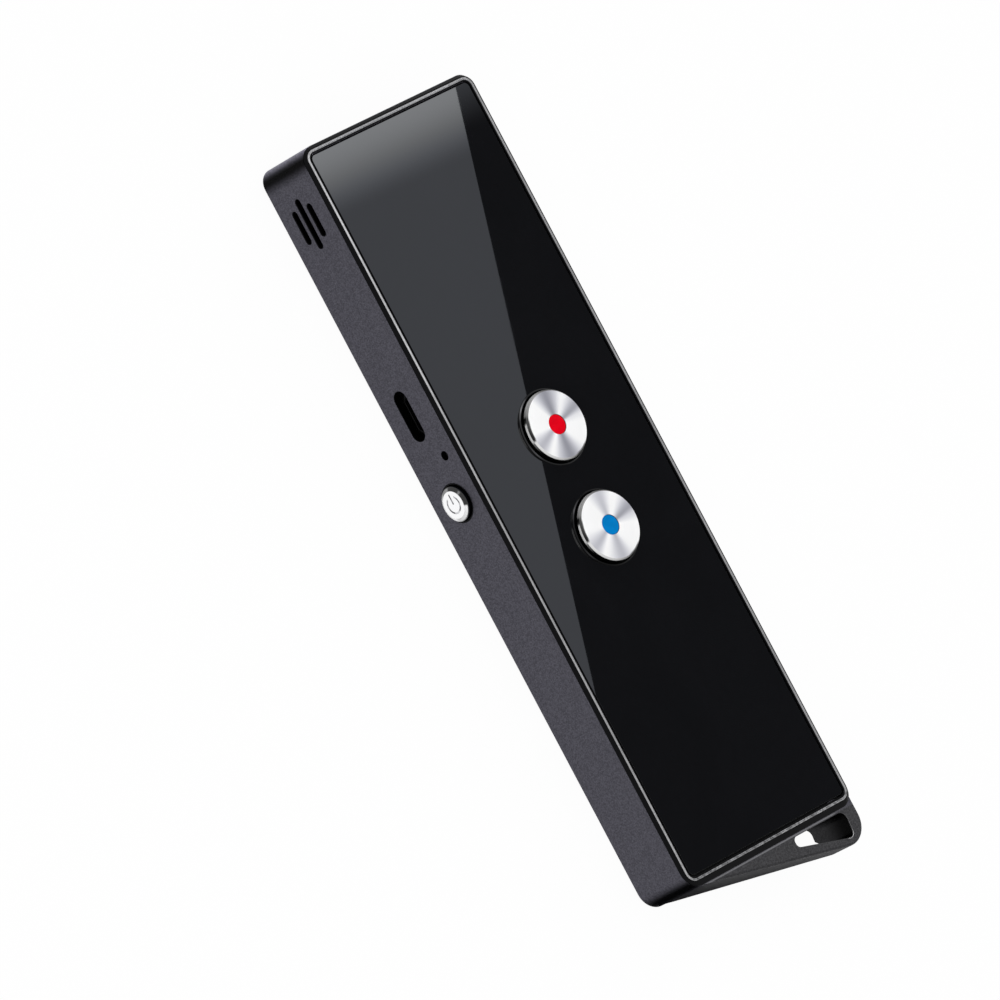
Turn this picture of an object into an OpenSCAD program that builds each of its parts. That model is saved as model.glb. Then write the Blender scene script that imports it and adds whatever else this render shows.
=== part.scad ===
// Handheld voice translator: a flat bar with a glass front, two talk buttons, a side power
// button, a speaker grille in the back cover and a slanted lanyard eye at the bottom end.
// X runs from the left side to the right side, Y to the top end, Z from the back to the front.
// The origin is on the back face, midway along the whole length.

/* [Body] */
// Whole length, lanyard eye included
overall_len = 139.6; // [136:0.2:146]
// Length of the body without the lanyard eye
body_len = 133.6; // [130:0.2:136]
// Width of the body
body_w = 40; // [39:0.5:44]
// Thickness from the back face to the front rim
body_t = 12.8; // [12.8:0.1:13.6]
// Radius of the vertical corners
corner_r = 2.7; // [2:0.1:3.2]
// Wall of the middle frame
wall = 1.4; // [1.3:0.1:1.6]
// How far the back cover stands proud of the frame
back_step = 0.8; // [0.6:0.1:1]
// How far the front bezel stands proud of the frame
front_step = 0.55; // [0.45:0.05:0.7]

/* [Front bezel] */
// Inset of the front rim at the two long sides
rim_inset_side = 0.45; // [0.4:0.05:0.6]
// Inset of the front rim at the top end
rim_inset_top = 0.5; // [0.4:0.05:0.6]
// Inset of the front rim at the bottom end
rim_inset_bottom = 1; // [0.9:0.05:1.2]
// Width of the rim round the glass
rim_w = 0.85; // [0.75:0.05:0.95]
// Thickness of the glass
glass_t = 0.9; // [0.7:0.05:1]

/* [Lanyard eye] */
// Fall of the slanted bottom edge, in millimetres for each millimetre across
eye_slope = 0.19; // [0.17:0.005:0.2]
// Radius of the lower right corner
eye_corner_r = 4; // [3:0.1:4.5]
// Height that the sloping back reaches in the middle of the slanted edge
eye_cut_z = 4; // [3.5:0.1:4.5]

/* [Talk buttons] */
// Diameter of a talk button
button_d = 12; // [11:0.1:12]
// Height of a talk button over the front rim
button_proud = 1.4; // [1.2:0.1:1.6]
// Travel of a talk button
button_travel = 0.5; // [0.3:0.05:0.5]
// Place of the red button along the length
red_y = 12.2; // [11.5:0.1:12.5]
// Place of the blue button along the length
blue_y = -6; // [-6.5:0.1:-5.5]
// Diameter of the coloured dot
dot_d = 3.4; // [3:0.1:4.4]

/* [Side controls] */
// Place of the power button along the length
power_y = 8.4; // [8:0.1:9]
// Diameter of the hole for the power button
power_hole_d = 6.8; // [6.6:0.1:6.9]
// How far the power button stands out of the side
power_proud = 0.9; // [0.7:0.1:1.1]
// Travel of the power button
power_travel = 0.35; // [0.25:0.05:0.4]
// Place of the USB opening along the length
usb_y = 24.2; // [24:0.1:25]
// Length of the USB opening
usb_len = 8.8; // [8.6:0.1:9.2]
// Height of the USB opening
usb_h = 3; // [2.9:0.1:3.3]
// Chamfer round the USB opening and the microphone slots
opening_chamfer = 0.15; // [0.1:0.05:0.3]
// Place of the indicator hole along the length
indicator_y = 16; // [15.6:0.1:16.4]
// Diameter of the indicator hole
indicator_d = 1.6; // [1:0.1:1.7]
// Place of the microphone slots along the length
mic_y = 58.9; // [58:0.1:60]
// Width of a microphone slot
mic_slot_w = 1.1; // [0.8:0.1:1.2]
// Distance from slot to slot
mic_pitch = 2.05; // [2:0.05:2.2]

/* [Speaker grille] */
// Holes along each side of the square grille
grille_n = 12; // [8:2:12]
// Distance from hole to hole
grille_pitch = 2.7; // [2.6:0.05:2.75]
// Diameter of a grille hole
grille_hole_d = 1.15; // [1:0.05:1.3]
// Place of the middle of the grille along the length
grille_y = 46.9; // [46:0.1:47]

/* [Hidden] */
$fn = 96;
// Cutters run past the face that they open by this much
past = 0.1;

// Heights of the layers, from the back face up
half_w = body_w / 2;
frame_back = back_step;
frame_front = body_t - front_step;
frame_mid = (frame_back + frame_front) / 2;
glass_front = body_t - 0.1;
glass_back = glass_front - glass_t;
adhesive_t = 0.1;
floor_front = glass_back - adhesive_t;
floor_t = 0.9;
floor_back = floor_front - floor_t;
ledge_t = 0.8;
ledge_back = floor_back - ledge_t;
chassis_t = 0.8;
chassis_back = ledge_back - chassis_t;
board_t = 1;
board_back = chassis_back - 0.9 - board_t;
board_front = board_back + board_t;
cover_t = 1.3;

// Plan of the body
top_y = overall_len / 2;
end_y = top_y - body_len;
inner_w = half_w - wall;
inner_top = top_y - wall;
inner_bottom = end_y + wall;
inner_r = corner_r - wall;
ledge_w = 1;
lower_left_r = corner_r + 0.7;
rim_r = 2;
rim_x = half_w - rim_inset_side;
rim_top = top_y - rim_inset_top;
rim_bottom = end_y + rim_inset_bottom;
cover_x = half_w - 0.9;
cover_top = top_y - 0.7;
cover_bottom = end_y + 0.9;

// Plan of the lanyard eye: a slanted edge that ends in one large corner
eye_right = half_w - 0.3;
eye_back = frame_back + 0.95;
eye_front = frame_front - 0.25;
eye_angle = atan(eye_slope);
eye_corner_x = eye_right - eye_corner_r;
eye_corner_y = eye_corner_r - overall_len / 2;
eye_left = -half_w + lower_left_r;
// Height of the slanted edge at the middle of the width
eye_mid_y = eye_corner_y - eye_corner_r / cos(eye_angle) + eye_slope * eye_corner_x;
slot_top = end_y - 0.4;

// Talk buttons
button_top = body_t + button_proud;
button_r = button_d / 2;
cap_under = floor_front + button_travel + 0.15;
glass_hole_r = button_r + 0.42;
ring_bore_r = button_r + 0.13;
ring_out_r = button_r + 0.54;
stem_r = 2;
stem_hole_r = 2.3;
stem_end = floor_back - 0.6;
clip_r = 3;
clip_t = 0.4;
switch_w = 5.2;
switch_front = board_front + 1.15;
switch_floor = board_front + 0.25;
dome_h = 1;
plunger_end = switch_floor + dome_h + 0.02;

// Power button, along X
power_z = frame_mid + 0.15;
power_hole_r = power_hole_d / 2;
power_sleeve_r = power_hole_r - 0.25;
power_cap_r = power_sleeve_r - 0.15;
power_face_x = -half_w - power_proud;
power_flange_x = -half_w + 2;
power_flange_t = 0.5;
power_flange_r = power_hole_r + 0.35;
power_relief = power_flange_r + 0.4;
power_stem_x = power_flange_x + 1.4;
power_plunger_x = power_stem_x + 1.4;
power_switch_x = power_stem_x + 0.6;

// Side sockets
usb_half_w = 3.7;
usb_half_h = 1.25;
usb_z = board_back - usb_half_h;
usb_end_x = -13.4;
indicator_r = indicator_d / 2;
indicator_z = chassis_back + 0.12;
mic_slot_lens = [5.7, 8.7, 5.7];
mic_z = frame_mid - 0.07;

// Inner parts
speaker_r = 15;
speaker_back = cover_t + 0.15;
cell_w = 32;
cell_len = 46;
cell_back = cover_t + 0.6;
cell_front = 7.9;
cell_bottom = inner_bottom + 2.2;
board_w = 35.4;
board_bottom = cell_bottom + cell_len + 2;
board_top = inner_top - 1.6;
board_notch_x = 13.5;
boot_len = 10.4;
boot_depth = 3;
screw_head_r = 1.3;
screw_r = 0.7;
chassis_points = [
    [-11.5, 64.6], [11.5, 64.6], [15.4, 26], [-15.4, board_bottom + 1.3], [15.4, board_bottom + 1.3],
    [0, cell_bottom + 3]
];
board_points = [[-13.4, 30], [13.4, 30], [-10.5, board_bottom + 2.8], [10.5, board_bottom + 2.8]];
lead_r = 0.4;
battery_plug_x = 2;

// Unit vector along v
function unit(v) = v / norm(v);

// Half of the angle at corner p between its neighbours a and b
function half_angle(p, a, b) = acos(unit(a - p) * unit(b - p)) / 2;

// Point where the arc of radius r at corner p leaves the edge to a
function leave(p, a, b, r) = p + unit(a - p) * r / tan(half_angle(p, a, b));

// Centre of that arc
function centre(p, a, b, r) = p + unit(unit(a - p) + unit(b - p)) * r / sin(half_angle(p, a, b));

// Convex outline with a radius of its own at each corner
module rounded_outline(points, radii) {
    n = len(points);
    polygon([
        for (i = [0 : n - 1])
            let (p = points[i], a = points[(i + n - 1) % n], b = points[(i + 1) % n])
                each [leave(p, a, b, radii[i]), leave(p, b, a, radii[i])]
    ]);
    for (i = [0 : n - 1])
        translate(centre(points[i], points[(i + n - 1) % n], points[(i + 1) % n], radii[i]))
            circle(r = radii[i]);
}

// Rectangle from x0, y0 to x1, y1 with one radius at all corners, or four radii
module rounded_rect(x0, y0, x1, y1, r) {
    radii = is_list(r) ? r : [r, r, r, r];
    rounded_outline([[x0, y0], [x1, y0], [x1, y1], [x0, y1]], radii);
}

// The outline below it, as a plate from z0 to z1
module plate(z0, z1) {
    translate([0, 0, z0])
        linear_extrude(height = z1 - z0)
            children();
}

// Block between two opposite corners
module block(a, b) {
    low = [min(a[0], b[0]), min(a[1], b[1]), min(a[2], b[2])];
    high = [max(a[0], b[0]), max(a[1], b[1]), max(a[2], b[2])];
    translate(low)
        cube(high - low);
}

// Round bar along Z, from z0 to z1, at x, y
module bar_z(x, y, z0, z1, r) {
    translate([x, y, z0])
        cylinder(r = r, h = z1 - z0);
}

// Round bar along X, from x0 to x1, at y, z
module bar_x(x0, x1, y, z, r) {
    translate([x0, y, z])
        rotate([0, 90, 0])
            cylinder(r = r, h = x1 - x0);
}

// Round bar along Y, from y0 to y1, at x, z
module bar_y(x, y0, y1, z, r) {
    translate([x, y1, z])
        rotate([90, 0, 0])
            cylinder(r = r, h = y1 - y0);
}

// Slot with round ends along Y, cut through the left wall, with a chamfer round its mouth
module side_slot(y, z, length, width) {
    reach = (length - width) / 2;
    x0 = -half_w - past;
    x1 = -half_w + wall + past;
    narrow = width / 2;
    wide = narrow + opening_chamfer + past;
    deep = opening_chamfer + past;
    block([x0, y - reach, z - narrow], [x1, y + reach, z + narrow]);
    translate([x0, y + reach, z])
        rotate([90, 0, 0])
            linear_extrude(height = 2 * reach)
                polygon([[0, -wide], [deep, -narrow], [deep, narrow], [0, wide]]);
    for (side = [-1, 1]) {
        bar_x(x0, x1, y + side * reach, z, narrow);
        translate([x0, y + side * reach, z])
            rotate([0, 90, 0])
                cylinder(r1 = wide, r2 = narrow, h = deep);
    }
}

// Outer outline of the frame without the eye
module frame_outline() {
    rounded_rect(-half_w, end_y, half_w, top_y, [lower_left_r, corner_r, corner_r, corner_r]);
}

// Outline of the frame's cavity, moved inwards by inset
module cavity_outline(inset) {
    r = max(inner_r - inset, 0.4);
    rounded_rect(-inner_w + inset, inner_bottom + inset, inner_w - inset, inner_top - inset, r);
}

// Outline of the lanyard eye, running up into the frame
module eye_outline() {
    overlap = wall - 0.2;
    foot_x = eye_corner_x - eye_corner_r * sin(eye_angle);
    foot_y = eye_corner_y - eye_corner_r * cos(eye_angle);
    polygon([
        [eye_left, end_y + overlap],
        [eye_left, eye_mid_y - eye_slope * eye_left],
        [foot_x, foot_y],
        [eye_corner_x, eye_corner_y],
        [eye_right, eye_corner_y],
        [eye_right, end_y + overlap]
    ]);
    translate([eye_corner_x, eye_corner_y])
        circle(r = eye_corner_r);
}

// Outline of the slot in the eye, wider towards the right
module eye_slot_outline() {
    rounded_outline(
        [[5, slot_top - 1.7], [16.9, slot_top - 4.65], [17.4, slot_top], [5, slot_top]],
        [0.9, 1, 1.4, 0.8]
    );
}

// Everything under a plane through the middle of the slanted edge, at height z
module eye_cut(z, turn) {
    translate([0, eye_mid_y, z])
        rotate(turn)
            translate([-body_w, -body_w, -body_w])
                cube([2 * body_w, 2 * body_w, body_w]);
}

// Anodised frame: four walls, the ledge that carries the bezel, and the lanyard eye
module middle_frame() {
    color("#4a4950")
    difference() {
        union() {
            difference() {
                plate(frame_back, frame_front)
                    frame_outline();
                plate(frame_back - past, ledge_back)
                    cavity_outline(0);
                plate(frame_back - past, frame_front + past)
                    cavity_outline(ledge_w);
                plate(floor_back, frame_front + past)
                    cavity_outline(0);
                block([-half_w + wall - past, power_y - power_relief, ledge_back - past],
                      [-half_w + 4, power_y + power_relief, floor_back + past]);
            }
            difference() {
                plate(frame_back + 0.3, eye_front)
                    eye_outline();
                eye_cut(eye_back, [0, -1.8, 0]);
                eye_cut(eye_cut_z, [-55.5, 0, -3.5]);
            }
        }
        plate(eye_back - past, eye_front + past)
            eye_slot_outline();
        for (i = [0 : 2])
            side_slot(mic_y, mic_z + (i - 1) * mic_pitch, mic_slot_lens[i], mic_slot_w);
        side_slot(usb_y, usb_z, usb_len, usb_h);
        bar_x(-half_w - past, -half_w + wall + past, indicator_y, indicator_z, indicator_r);
        bar_x(-half_w - past, -half_w + wall + past, power_y, power_z, power_hole_r);
    }
}

// Outline of the front rim, moved outwards by grow
module rim_outline(grow) {
    r = max(rim_r + grow, 0.4);
    rounded_rect(-rim_x - grow, rim_bottom - grow, rim_x + grow, rim_top + grow, r);
}

// Black bezel: sloped skirt on the frame, bright rim, and the floor under the glass
module front_bezel() {
    skirt = 0.1;
    lip = 0.08;
    near = corner_r - lip;
    color("#101113")
    difference() {
        union() {
            hull() {
                plate(frame_front, frame_front + skirt)
                    rounded_rect(
                        -half_w + lip, end_y + lip, half_w - lip, top_y - lip,
                        [lower_left_r - lip, near, near, near], $fn = 32
                    );
                plate(frame_front + skirt, body_t)
                    rim_outline(0, $fn = 32);
            }
            plate(floor_back, frame_front + skirt)
                cavity_outline(0.08);
            for (p = chassis_points)
                bar_z(p[0], p[1], ledge_back + 0.05, floor_back + skirt, 1.6);
        }
        plate(floor_front, body_t + past)
            rim_outline(-rim_w);
        for (y = [red_y, blue_y])
            bar_z(0, y, floor_back - past, body_t, stem_hole_r);
        for (p = chassis_points)
            bar_z(p[0], p[1], ledge_back - past, floor_front - 0.25, screw_r);
    }
}

// Black glass panel with two round holes
module front_glass() {
    gap = 0.3;
    color("#0c0d0f")
    difference() {
        plate(glass_back, glass_front)
            rim_outline(-rim_w - gap);
        for (y = [red_y, blue_y])
            bar_z(0, y, glass_back - past, glass_front + past, glass_hole_r);
    }
}

// Adhesive film between the glass and the bezel floor
module glass_adhesive() {
    inset = 1.2;
    band = 3;
    color("#303030")
    difference() {
        plate(floor_front, glass_back)
            rim_outline(-rim_w - inset);
        plate(floor_front - past, glass_back + past)
            rim_outline(-rim_w - inset - band);
    }
}

// Whether the grille hole in column i and row j goes through: an octagon of them does
function hole_through(i, j) =
    let (a = abs(i - (grille_n - 1) / 2), b = abs(j - (grille_n - 1) / 2))
        max(a, b) < 5 && a + b < 8;

// Back cover: a proud plate, a locating skirt inside the frame, and the grille
module back_cover() {
    skirt_w = 0.8;
    fit = 0.08;
    dimple = 0.5;
    color("#403f45")
    difference() {
        union() {
            plate(0, frame_back)
                rounded_rect(-cover_x, cover_bottom, cover_x, cover_top, 1.8);
            plate(frame_back, cover_t)
                cavity_outline(fit);
            difference() {
                plate(cover_t, cover_t + 1.4)
                    cavity_outline(fit);
                plate(cover_t - past, cover_t + 1.5)
                    cavity_outline(fit + skirt_w);
                block([-half_w, usb_y - 6, cover_t], [0, usb_y + 6, cover_t + 2]);
            }
        }
        for (i = [0 : grille_n - 1])
            for (j = [0 : grille_n - 1])
                bar_z(
                    (i - (grille_n - 1) / 2) * grille_pitch,
                    grille_y + (j - (grille_n - 1) / 2) * grille_pitch,
                    -past,
                    hole_through(i, j) ? cover_t + past : dimple,
                    grille_hole_d / 2
                );
    }
}

// Moulded plate under the bezel: clamps the ledge, carries the board, cradles the battery
module inner_chassis() {
    fit = 0.15;
    cradle_w = 1;
    color("#5a5c60")
    difference() {
        union() {
            plate(chassis_back, ledge_back)
                cavity_outline(fit);
            difference() {
                block([-cell_w / 2 - 0.2 - cradle_w, cell_bottom - 1.2, cell_back + 0.4],
                      [cell_w / 2 + 0.2 + cradle_w, cell_bottom + cell_len + 1.2, chassis_back]);
                block([-cell_w / 2 - 0.2, cell_bottom - 0.2, cell_back],
                      [cell_w / 2 + 0.2, cell_bottom + cell_len + 0.2, chassis_back]);
                block([battery_plug_x - 3, cell_bottom + cell_len, cell_back],
                      [battery_plug_x + 3, cell_bottom + cell_len + 2, chassis_back]);
            }
            for (p = board_points)
                bar_z(p[0], p[1], board_front, chassis_back, 1.8);
        }
        for (y = [red_y, blue_y])
            block([-4, y - 4, chassis_back - past], [4, y + 4, ledge_back + past]);
        block([-half_w, usb_y - 5, chassis_back - past], [-11, usb_y + 5, ledge_back + past]);
        block([-half_w, indicator_y - 2, chassis_back - past],
              [-14.6, indicator_y + 2, ledge_back + past]);
        block([-half_w, power_y - power_relief, chassis_back - past],
              [power_flange_x + 1.6, power_y + power_relief, ledge_back + past]);
        for (p = chassis_points)
            bar_z(p[0], p[1], chassis_back - past, ledge_back + past, 0.95);
        for (p = board_points)
            bar_z(p[0], p[1], board_front - past, chassis_back + 0.5, screw_r);
    }
}

// Cross-head screw with its head at the back: head under z, shank going up from it
module screw(x, y, z, length) {
    head_t = 0.7;
    color("silver")
    difference() {
        union() {
            bar_z(x, y, z - head_t, z, screw_head_r);
            bar_z(x, y, z, z + length, screw_r);
        }
        for (turn = [0, 90])
            translate([x, y, z - head_t])
                rotate([0, 0, turn])
                    cube([1.5, 0.35, 0.7], center = true);
    }
}

// Screws that hold the chassis to the bezel
module chassis_screws() {
    for (p = chassis_points)
        screw(p[0], p[1], chassis_back, 2.2);
}

// Screws that hold the board to the chassis
module board_screws() {
    for (p = board_points)
        screw(p[0], p[1], board_back, 2.2);
}

// Circuit board, notched for the power switch and cleared for the chassis screws
module main_board() {
    color("#1f5b3a")
    difference() {
        plate(board_back, board_front)
            rounded_rect(-board_w / 2, board_bottom, board_w / 2, board_top, 1);
        block([-half_w, power_y - 2.8, board_back - past], [-12.2, power_y + 2.8, board_front + past]);
        block([-half_w, power_y - power_relief, board_back - past],
              [power_flange_x + 1.6, power_y + power_relief, board_front + past]);
        block([-half_w, mic_y - boot_len / 2 - 0.2, board_back - past],
              [-inner_w + boot_depth + 0.5, mic_y + boot_len / 2 + 0.2, board_front + past]);
        for (side = [-1, 1])
            block([side * half_w, board_bottom - 1, board_back - past],
                  [side * board_notch_x, board_bottom + 3.2, board_front + past]);
        for (i = [0 : 2])
            bar_z(
                chassis_points[i][0], chassis_points[i][1], board_back - past, board_front + past,
                screw_head_r + 0.4
            );
        for (p = board_points)
            bar_z(p[0], p[1], board_back - past, board_front + past, screw_r + 0.1);
    }
}

// Chip lying under the back face of the board
module back_chip(x, y, w, l, t) {
    block([x - w / 2, y - l / 2, board_back - t], [x + w / 2, y + l / 2, board_back]);
}

module processor_chip() {
    color("#202124")
        back_chip(-3, 16, 10, 10, 1);
}

module memory_chip() {
    color("#26272b")
        back_chip(-3, 4.5, 8, 6, 0.8);
}

// Pressed metal can over the wireless module
module wireless_can() {
    color("#b9bcc0")
        back_chip(10, 12, 12, 15, 1.8);
}

module chip_antenna() {
    color("#d8d6cc")
        back_chip(8, 26, 5, 2, 1);
}

// Coils, capacitors and resistors under the board
module small_components() {
    color("#8a6a45")
    {
        for (i = [0 : 4])
            back_chip(-9.5 + 2 * i, -3, 1, 1.8, 0.6);
        for (i = [0 : 3])
            back_chip(-10.5, 0.5 + 2.6 * i, 1.6, 0.9, 0.5);
        back_chip(5, -1.5, 4, 4, 1.5);
        back_chip(11, -1.5, 3.2, 2.5, 1.2);
    }
}

// Side-looking lamp on the front of the board
module indicator_led() {
    color("#f2efe2")
        block([-16.9, indicator_y - 1, board_front], [-15.7, indicator_y + 1, indicator_z + 0.5]);
}

// Clear rod from the lamp to the small hole in the side
module light_pipe() {
    pipe_end = -17;
    color("#dfe6ea", 0.6)
    {
        bar_x(-half_w + 0.9, pipe_end, indicator_y, indicator_z, indicator_r - 0.26);
        bar_x(pipe_end - 0.5, pipe_end, indicator_y, indicator_z, indicator_r - 0.14);
    }
}

module microphone_capsule() {
    color("#c9b36a")
        block([-15.2, mic_y - 1.9, board_back - 1.1], [-12.2, mic_y + 1.9, board_back]);
}

// Rubber duct from the three side slots to the microphone
module microphone_boot() {
    lip = 0.8;
    x0 = -inner_w + 0.25;
    x1 = -inner_w + boot_depth + 0.3;
    y0 = mic_y - boot_len / 2;
    y1 = mic_y + boot_len / 2;
    z0 = mic_z - mic_pitch - 1.38;
    z1 = mic_z + mic_pitch + 0.57;
    color("#2b2b2d")
    difference() {
        block([x0, y0, z0], [x1, y1, z1]);
        block([x0 - past, y0 + lip, z0 + lip], [x1 - lip, y1 - lip, z1 - 0.1]);
        block([x1 - lip - past, mic_y - 0.5, board_back - 0.9],
              [x1 + past, mic_y + 0.5, board_back - 0.3]);
    }
}

// Fine mesh behind the three side slots
module microphone_mesh() {
    y0 = mic_y - boot_len / 2 + 0.1;
    y1 = mic_y + boot_len / 2 - 0.1;
    z0 = mic_z - mic_pitch - 1.28;
    z1 = mic_z + mic_pitch + 0.57;
    color("#3a3a3a")
        block([-inner_w + 0.05, y0, z0], [-inner_w + 0.2, y1, z1]);
}

// Outline of a micro-USB shell in the Y-Z plane: two cut corners at the back side
module usb_outline(grow) {
    w = usb_half_w + grow;
    h = usb_half_h + grow;
    cut = 1;
    polygon([[-w, h], [w, h], [w, -h + cut], [w - cut, -h], [-w + cut, -h], [-w, -h + cut]]);
}

// The outline below it, as a bar along X from x0 to x1, centred on the USB opening
module along_usb(x0, x1) {
    translate([x0, usb_y, usb_z])
        rotate([90, 0, 90])
            linear_extrude(height = x1 - x0)
                children();
}

module usb_socket_shell() {
    t = 0.25;
    color("silver")
    difference() {
        along_usb(-inner_w + 0.1, usb_end_x)
            usb_outline(0);
        along_usb(-inner_w, usb_end_x - t)
            usb_outline(-t);
    }
}

module usb_socket_tongue() {
    color("#1b1b1d")
        block([-17.6, usb_y - 1.75, usb_z + 0.1], [usb_end_x - 0.25, usb_y + 1.75, usb_z + 0.7]);
}

// Five contact strips on the tongue
module usb_contacts() {
    pitch = 0.65;
    half_strip = 0.15;
    color("gold")
        for (i = [-2 : 2])
            block([-17.4, usb_y + pitch * i - half_strip, usb_z],
                  [usb_end_x - 0.25, usb_y + pitch * i + half_strip, usb_z + 0.1]);
}

// Ring about the speaker axis, from a profile of radius and height
module speaker_turned(points) {
    translate([0, grille_y, 0])
        rotate_extrude()
            polygon(points);
}

// Woven disc that keeps dust out of the speaker
module speaker_mesh() {
    color("#2a2a2c")
        bar_z(0, grille_y, cover_t, cover_t + 0.15, 14.4);
}

module speaker_gasket() {
    color("#3c3c3e")
        speaker_turned([
            [13.2, speaker_back], [speaker_r, speaker_back],
            [speaker_r, speaker_back + 0.5], [13.2, speaker_back + 0.5]
        ]);
}

// Pressed basket that holds the cone's edge and the yoke
module speaker_basket() {
    z = speaker_back + 0.5;
    color("#8d9094")
        speaker_turned([
            [13.4, z], [speaker_r, z], [speaker_r, z + 0.8], [10, z + 3.2],
            [7.6, z + 3.2], [7.6, z + 2.7], [9.7, z + 2.7], [13.4, z + 0.8]
        ]);
}

// Paper cone with its roll edge and dust dome
module speaker_cone() {
    z = speaker_back + 0.6;
    color("#1d1d1f")
        speaker_turned([
            [0, z + 0.2], [2.5, z + 0.35], [4, z + 0.9], [11, z + 0.3], [12, z], [13.4, z + 0.1],
            [13.4, z + 0.35], [12, z + 0.25], [11, z + 0.55], [4, z + 1.2], [2.4, z + 0.6], [0, z + 0.45]
        ]);
}

module voice_coil() {
    z = speaker_back + 1.8;
    color("#b87333")
        speaker_turned([[3.85, z], [4.15, z], [4.15, z + 1.5], [3.85, z + 1.5]]);
}

module speaker_magnet() {
    z = speaker_back + 2.5;
    color("#c7c9cc")
        speaker_turned([[0, z], [3.6, z], [3.6, z + 1.6], [0, z + 1.6]]);
}

// Steel cup round the magnet
module speaker_yoke() {
    z = speaker_back + 2.6;
    color("#777a7e")
        speaker_turned([
            [4.5, z], [7.5, z], [7.5, z + 2.1], [0, z + 2.1], [0, z + 1.5], [4.5, z + 1.5]
        ]);
}

// Two wires from the speaker's edge to the board
module speaker_leads() {
    edge_y = grille_y - speaker_r - 0.1;
    bend_y = edge_y - 2.8;
    z = speaker_back + 1.3;
    color("#303034")
        for (x = [-1.2, 1.2]) {
            bar_y(x, bend_y, edge_y, z, lead_r);
            bar_z(x, bend_y, z - lead_r, board_back, lead_r);
        }
}

// Pouch cell with soft edges
module battery_cell() {
    soft = 0.6;
    x = cell_w / 2;
    y0 = cell_bottom;
    y1 = cell_bottom + cell_len;
    color("#b8bcc2")
    hull() {
        plate(cell_back, cell_front)
            rounded_rect(-x + soft, y0 + soft, x - soft, y1 - soft, 1, $fn = 32);
        plate(cell_back + soft, cell_front - soft)
            rounded_rect(-x, y0, x, y1, 1.6, $fn = 32);
    }
}

module battery_foam_pad() {
    color("#2f2f31")
        plate(cover_t, cell_back)
            rounded_rect(-13, cell_bottom + 3, 13, cell_bottom + cell_len - 3, 1.5);
}

module battery_socket() {
    color("#e9e6da")
        back_chip(battery_plug_x, board_bottom + 2.6, 6, 4, 1.6);
}

module battery_plug() {
    color("#f4f2ea")
        block([battery_plug_x - 2.6, board_bottom + 0.2, board_back - 3.4],
              [battery_plug_x + 2.6, board_bottom + 4.6, board_back - 1.6]);
}

// Two wires from the cell to the plug
module battery_leads() {
    color("#b3202a")
        for (x = [-1.2, 1.2])
            bar_y(
                battery_plug_x + x, cell_bottom + cell_len, board_bottom + 0.2,
                board_back - 2.5, lead_r
            );
}

// Snap switch on the front of the board, bored for its plunger
module switch_base(y) {
    half = switch_w / 2;
    color("#2a2a2c")
    difference() {
        block([-half, y - half, board_front], [half, y + half, switch_front]);
        bar_z(0, y, switch_floor, switch_front + past, 1.5);
    }
}

module red_switch_base() { switch_base(red_y); }

module blue_switch_base() { switch_base(blue_y); }

// Rubber dome that returns the plunger: foot ring, sloped wall and flat crown
module switch_dome(y) {
    z = switch_floor;
    color("#d8dadc")
        translate([0, y, 0])
            rotate_extrude()
                polygon([
                    [1.1, z], [1.4, z], [1.4, z + 0.15], [0.85, z + dome_h], [0, z + dome_h],
                    [0, z + dome_h - 0.25], [0.65, z + dome_h - 0.25]
                ]);
}

module red_switch_dome() { switch_dome(red_y); }

module blue_switch_dome() { switch_dome(blue_y); }

// Plunger of the switch, pushed by the stem
module switch_plunger(y) {
    color("#e0ddd2")
        bar_z(0, y, plunger_end, stem_end, 1.2);
}

module red_switch_plunger() { switch_plunger(red_y); }

module blue_switch_plunger() { switch_plunger(blue_y); }

// Dark chrome ring in the glass hole, with a low round lip on the glass
module button_ring(y) {
    lip = 0.25;
    color("#1a1b1e")
        translate([0, y, 0])
            rotate_extrude()
                polygon([
                    [ring_bore_r, floor_front], [glass_hole_r - 0.05, floor_front],
                    [glass_hole_r - 0.05, glass_front + 0.02], [ring_out_r, glass_front + 0.02],
                    [ring_out_r - 0.05, glass_front + 0.14], [ring_out_r - 0.17, glass_front + lip],
                    [ring_bore_r + 0.12, glass_front + lip], [ring_bore_r, glass_front + 0.13]
                ]);
}

module red_button_ring() { button_ring(red_y); }

module blue_button_ring() { button_ring(blue_y); }

// Turned metal button: disc with a cut edge, stem through the floor, seat for the dot
module button_cap(y) {
    edge_w = 0.3;
    edge_h = 0.35;
    dot_depth = 0.2;
    color("#d9dade")
        translate([0, y, 0])
            rotate_extrude()
                polygon([
                    [0, stem_end], [stem_r - 0.5, stem_end], [stem_r - 0.5, stem_end + clip_t],
                    [stem_r, stem_end + clip_t], [stem_r, cap_under], [button_r - 0.2, cap_under],
                    [button_r, cap_under + 0.2], [button_r, button_top - edge_h],
                    [button_r - edge_w, button_top], [dot_d / 2, button_top],
                    [dot_d / 2, button_top - dot_depth], [0, button_top - dot_depth]
                ]);
}

module red_button_cap() { button_cap(red_y); }

module blue_button_cap() { button_cap(blue_y); }

// Enamel dot, just under the face of the button
module button_dot(y) {
    bar_z(0, y, button_top - 0.2, button_top - 0.03, dot_d / 2);
}

module red_button_dot() {
    color("#e60019")
        button_dot(red_y);
}

module blue_button_dot() {
    color("#0a82c8")
        button_dot(blue_y);
}

// Spring clip round the foot of the stem, which stops the button from lifting out
module button_clip(y) {
    color("silver")
    difference() {
        bar_z(0, y, stem_end, stem_end + clip_t, clip_r);
        bar_z(0, y, stem_end - past, stem_end + clip_t + past, stem_r - 0.5);
        block([-1.2, y, stem_end - past], [1.2, y + clip_r + 1, stem_end + clip_t + past]);
    }
}

module red_button_clip() { button_clip(red_y); }

module blue_button_clip() { button_clip(blue_y); }

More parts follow.
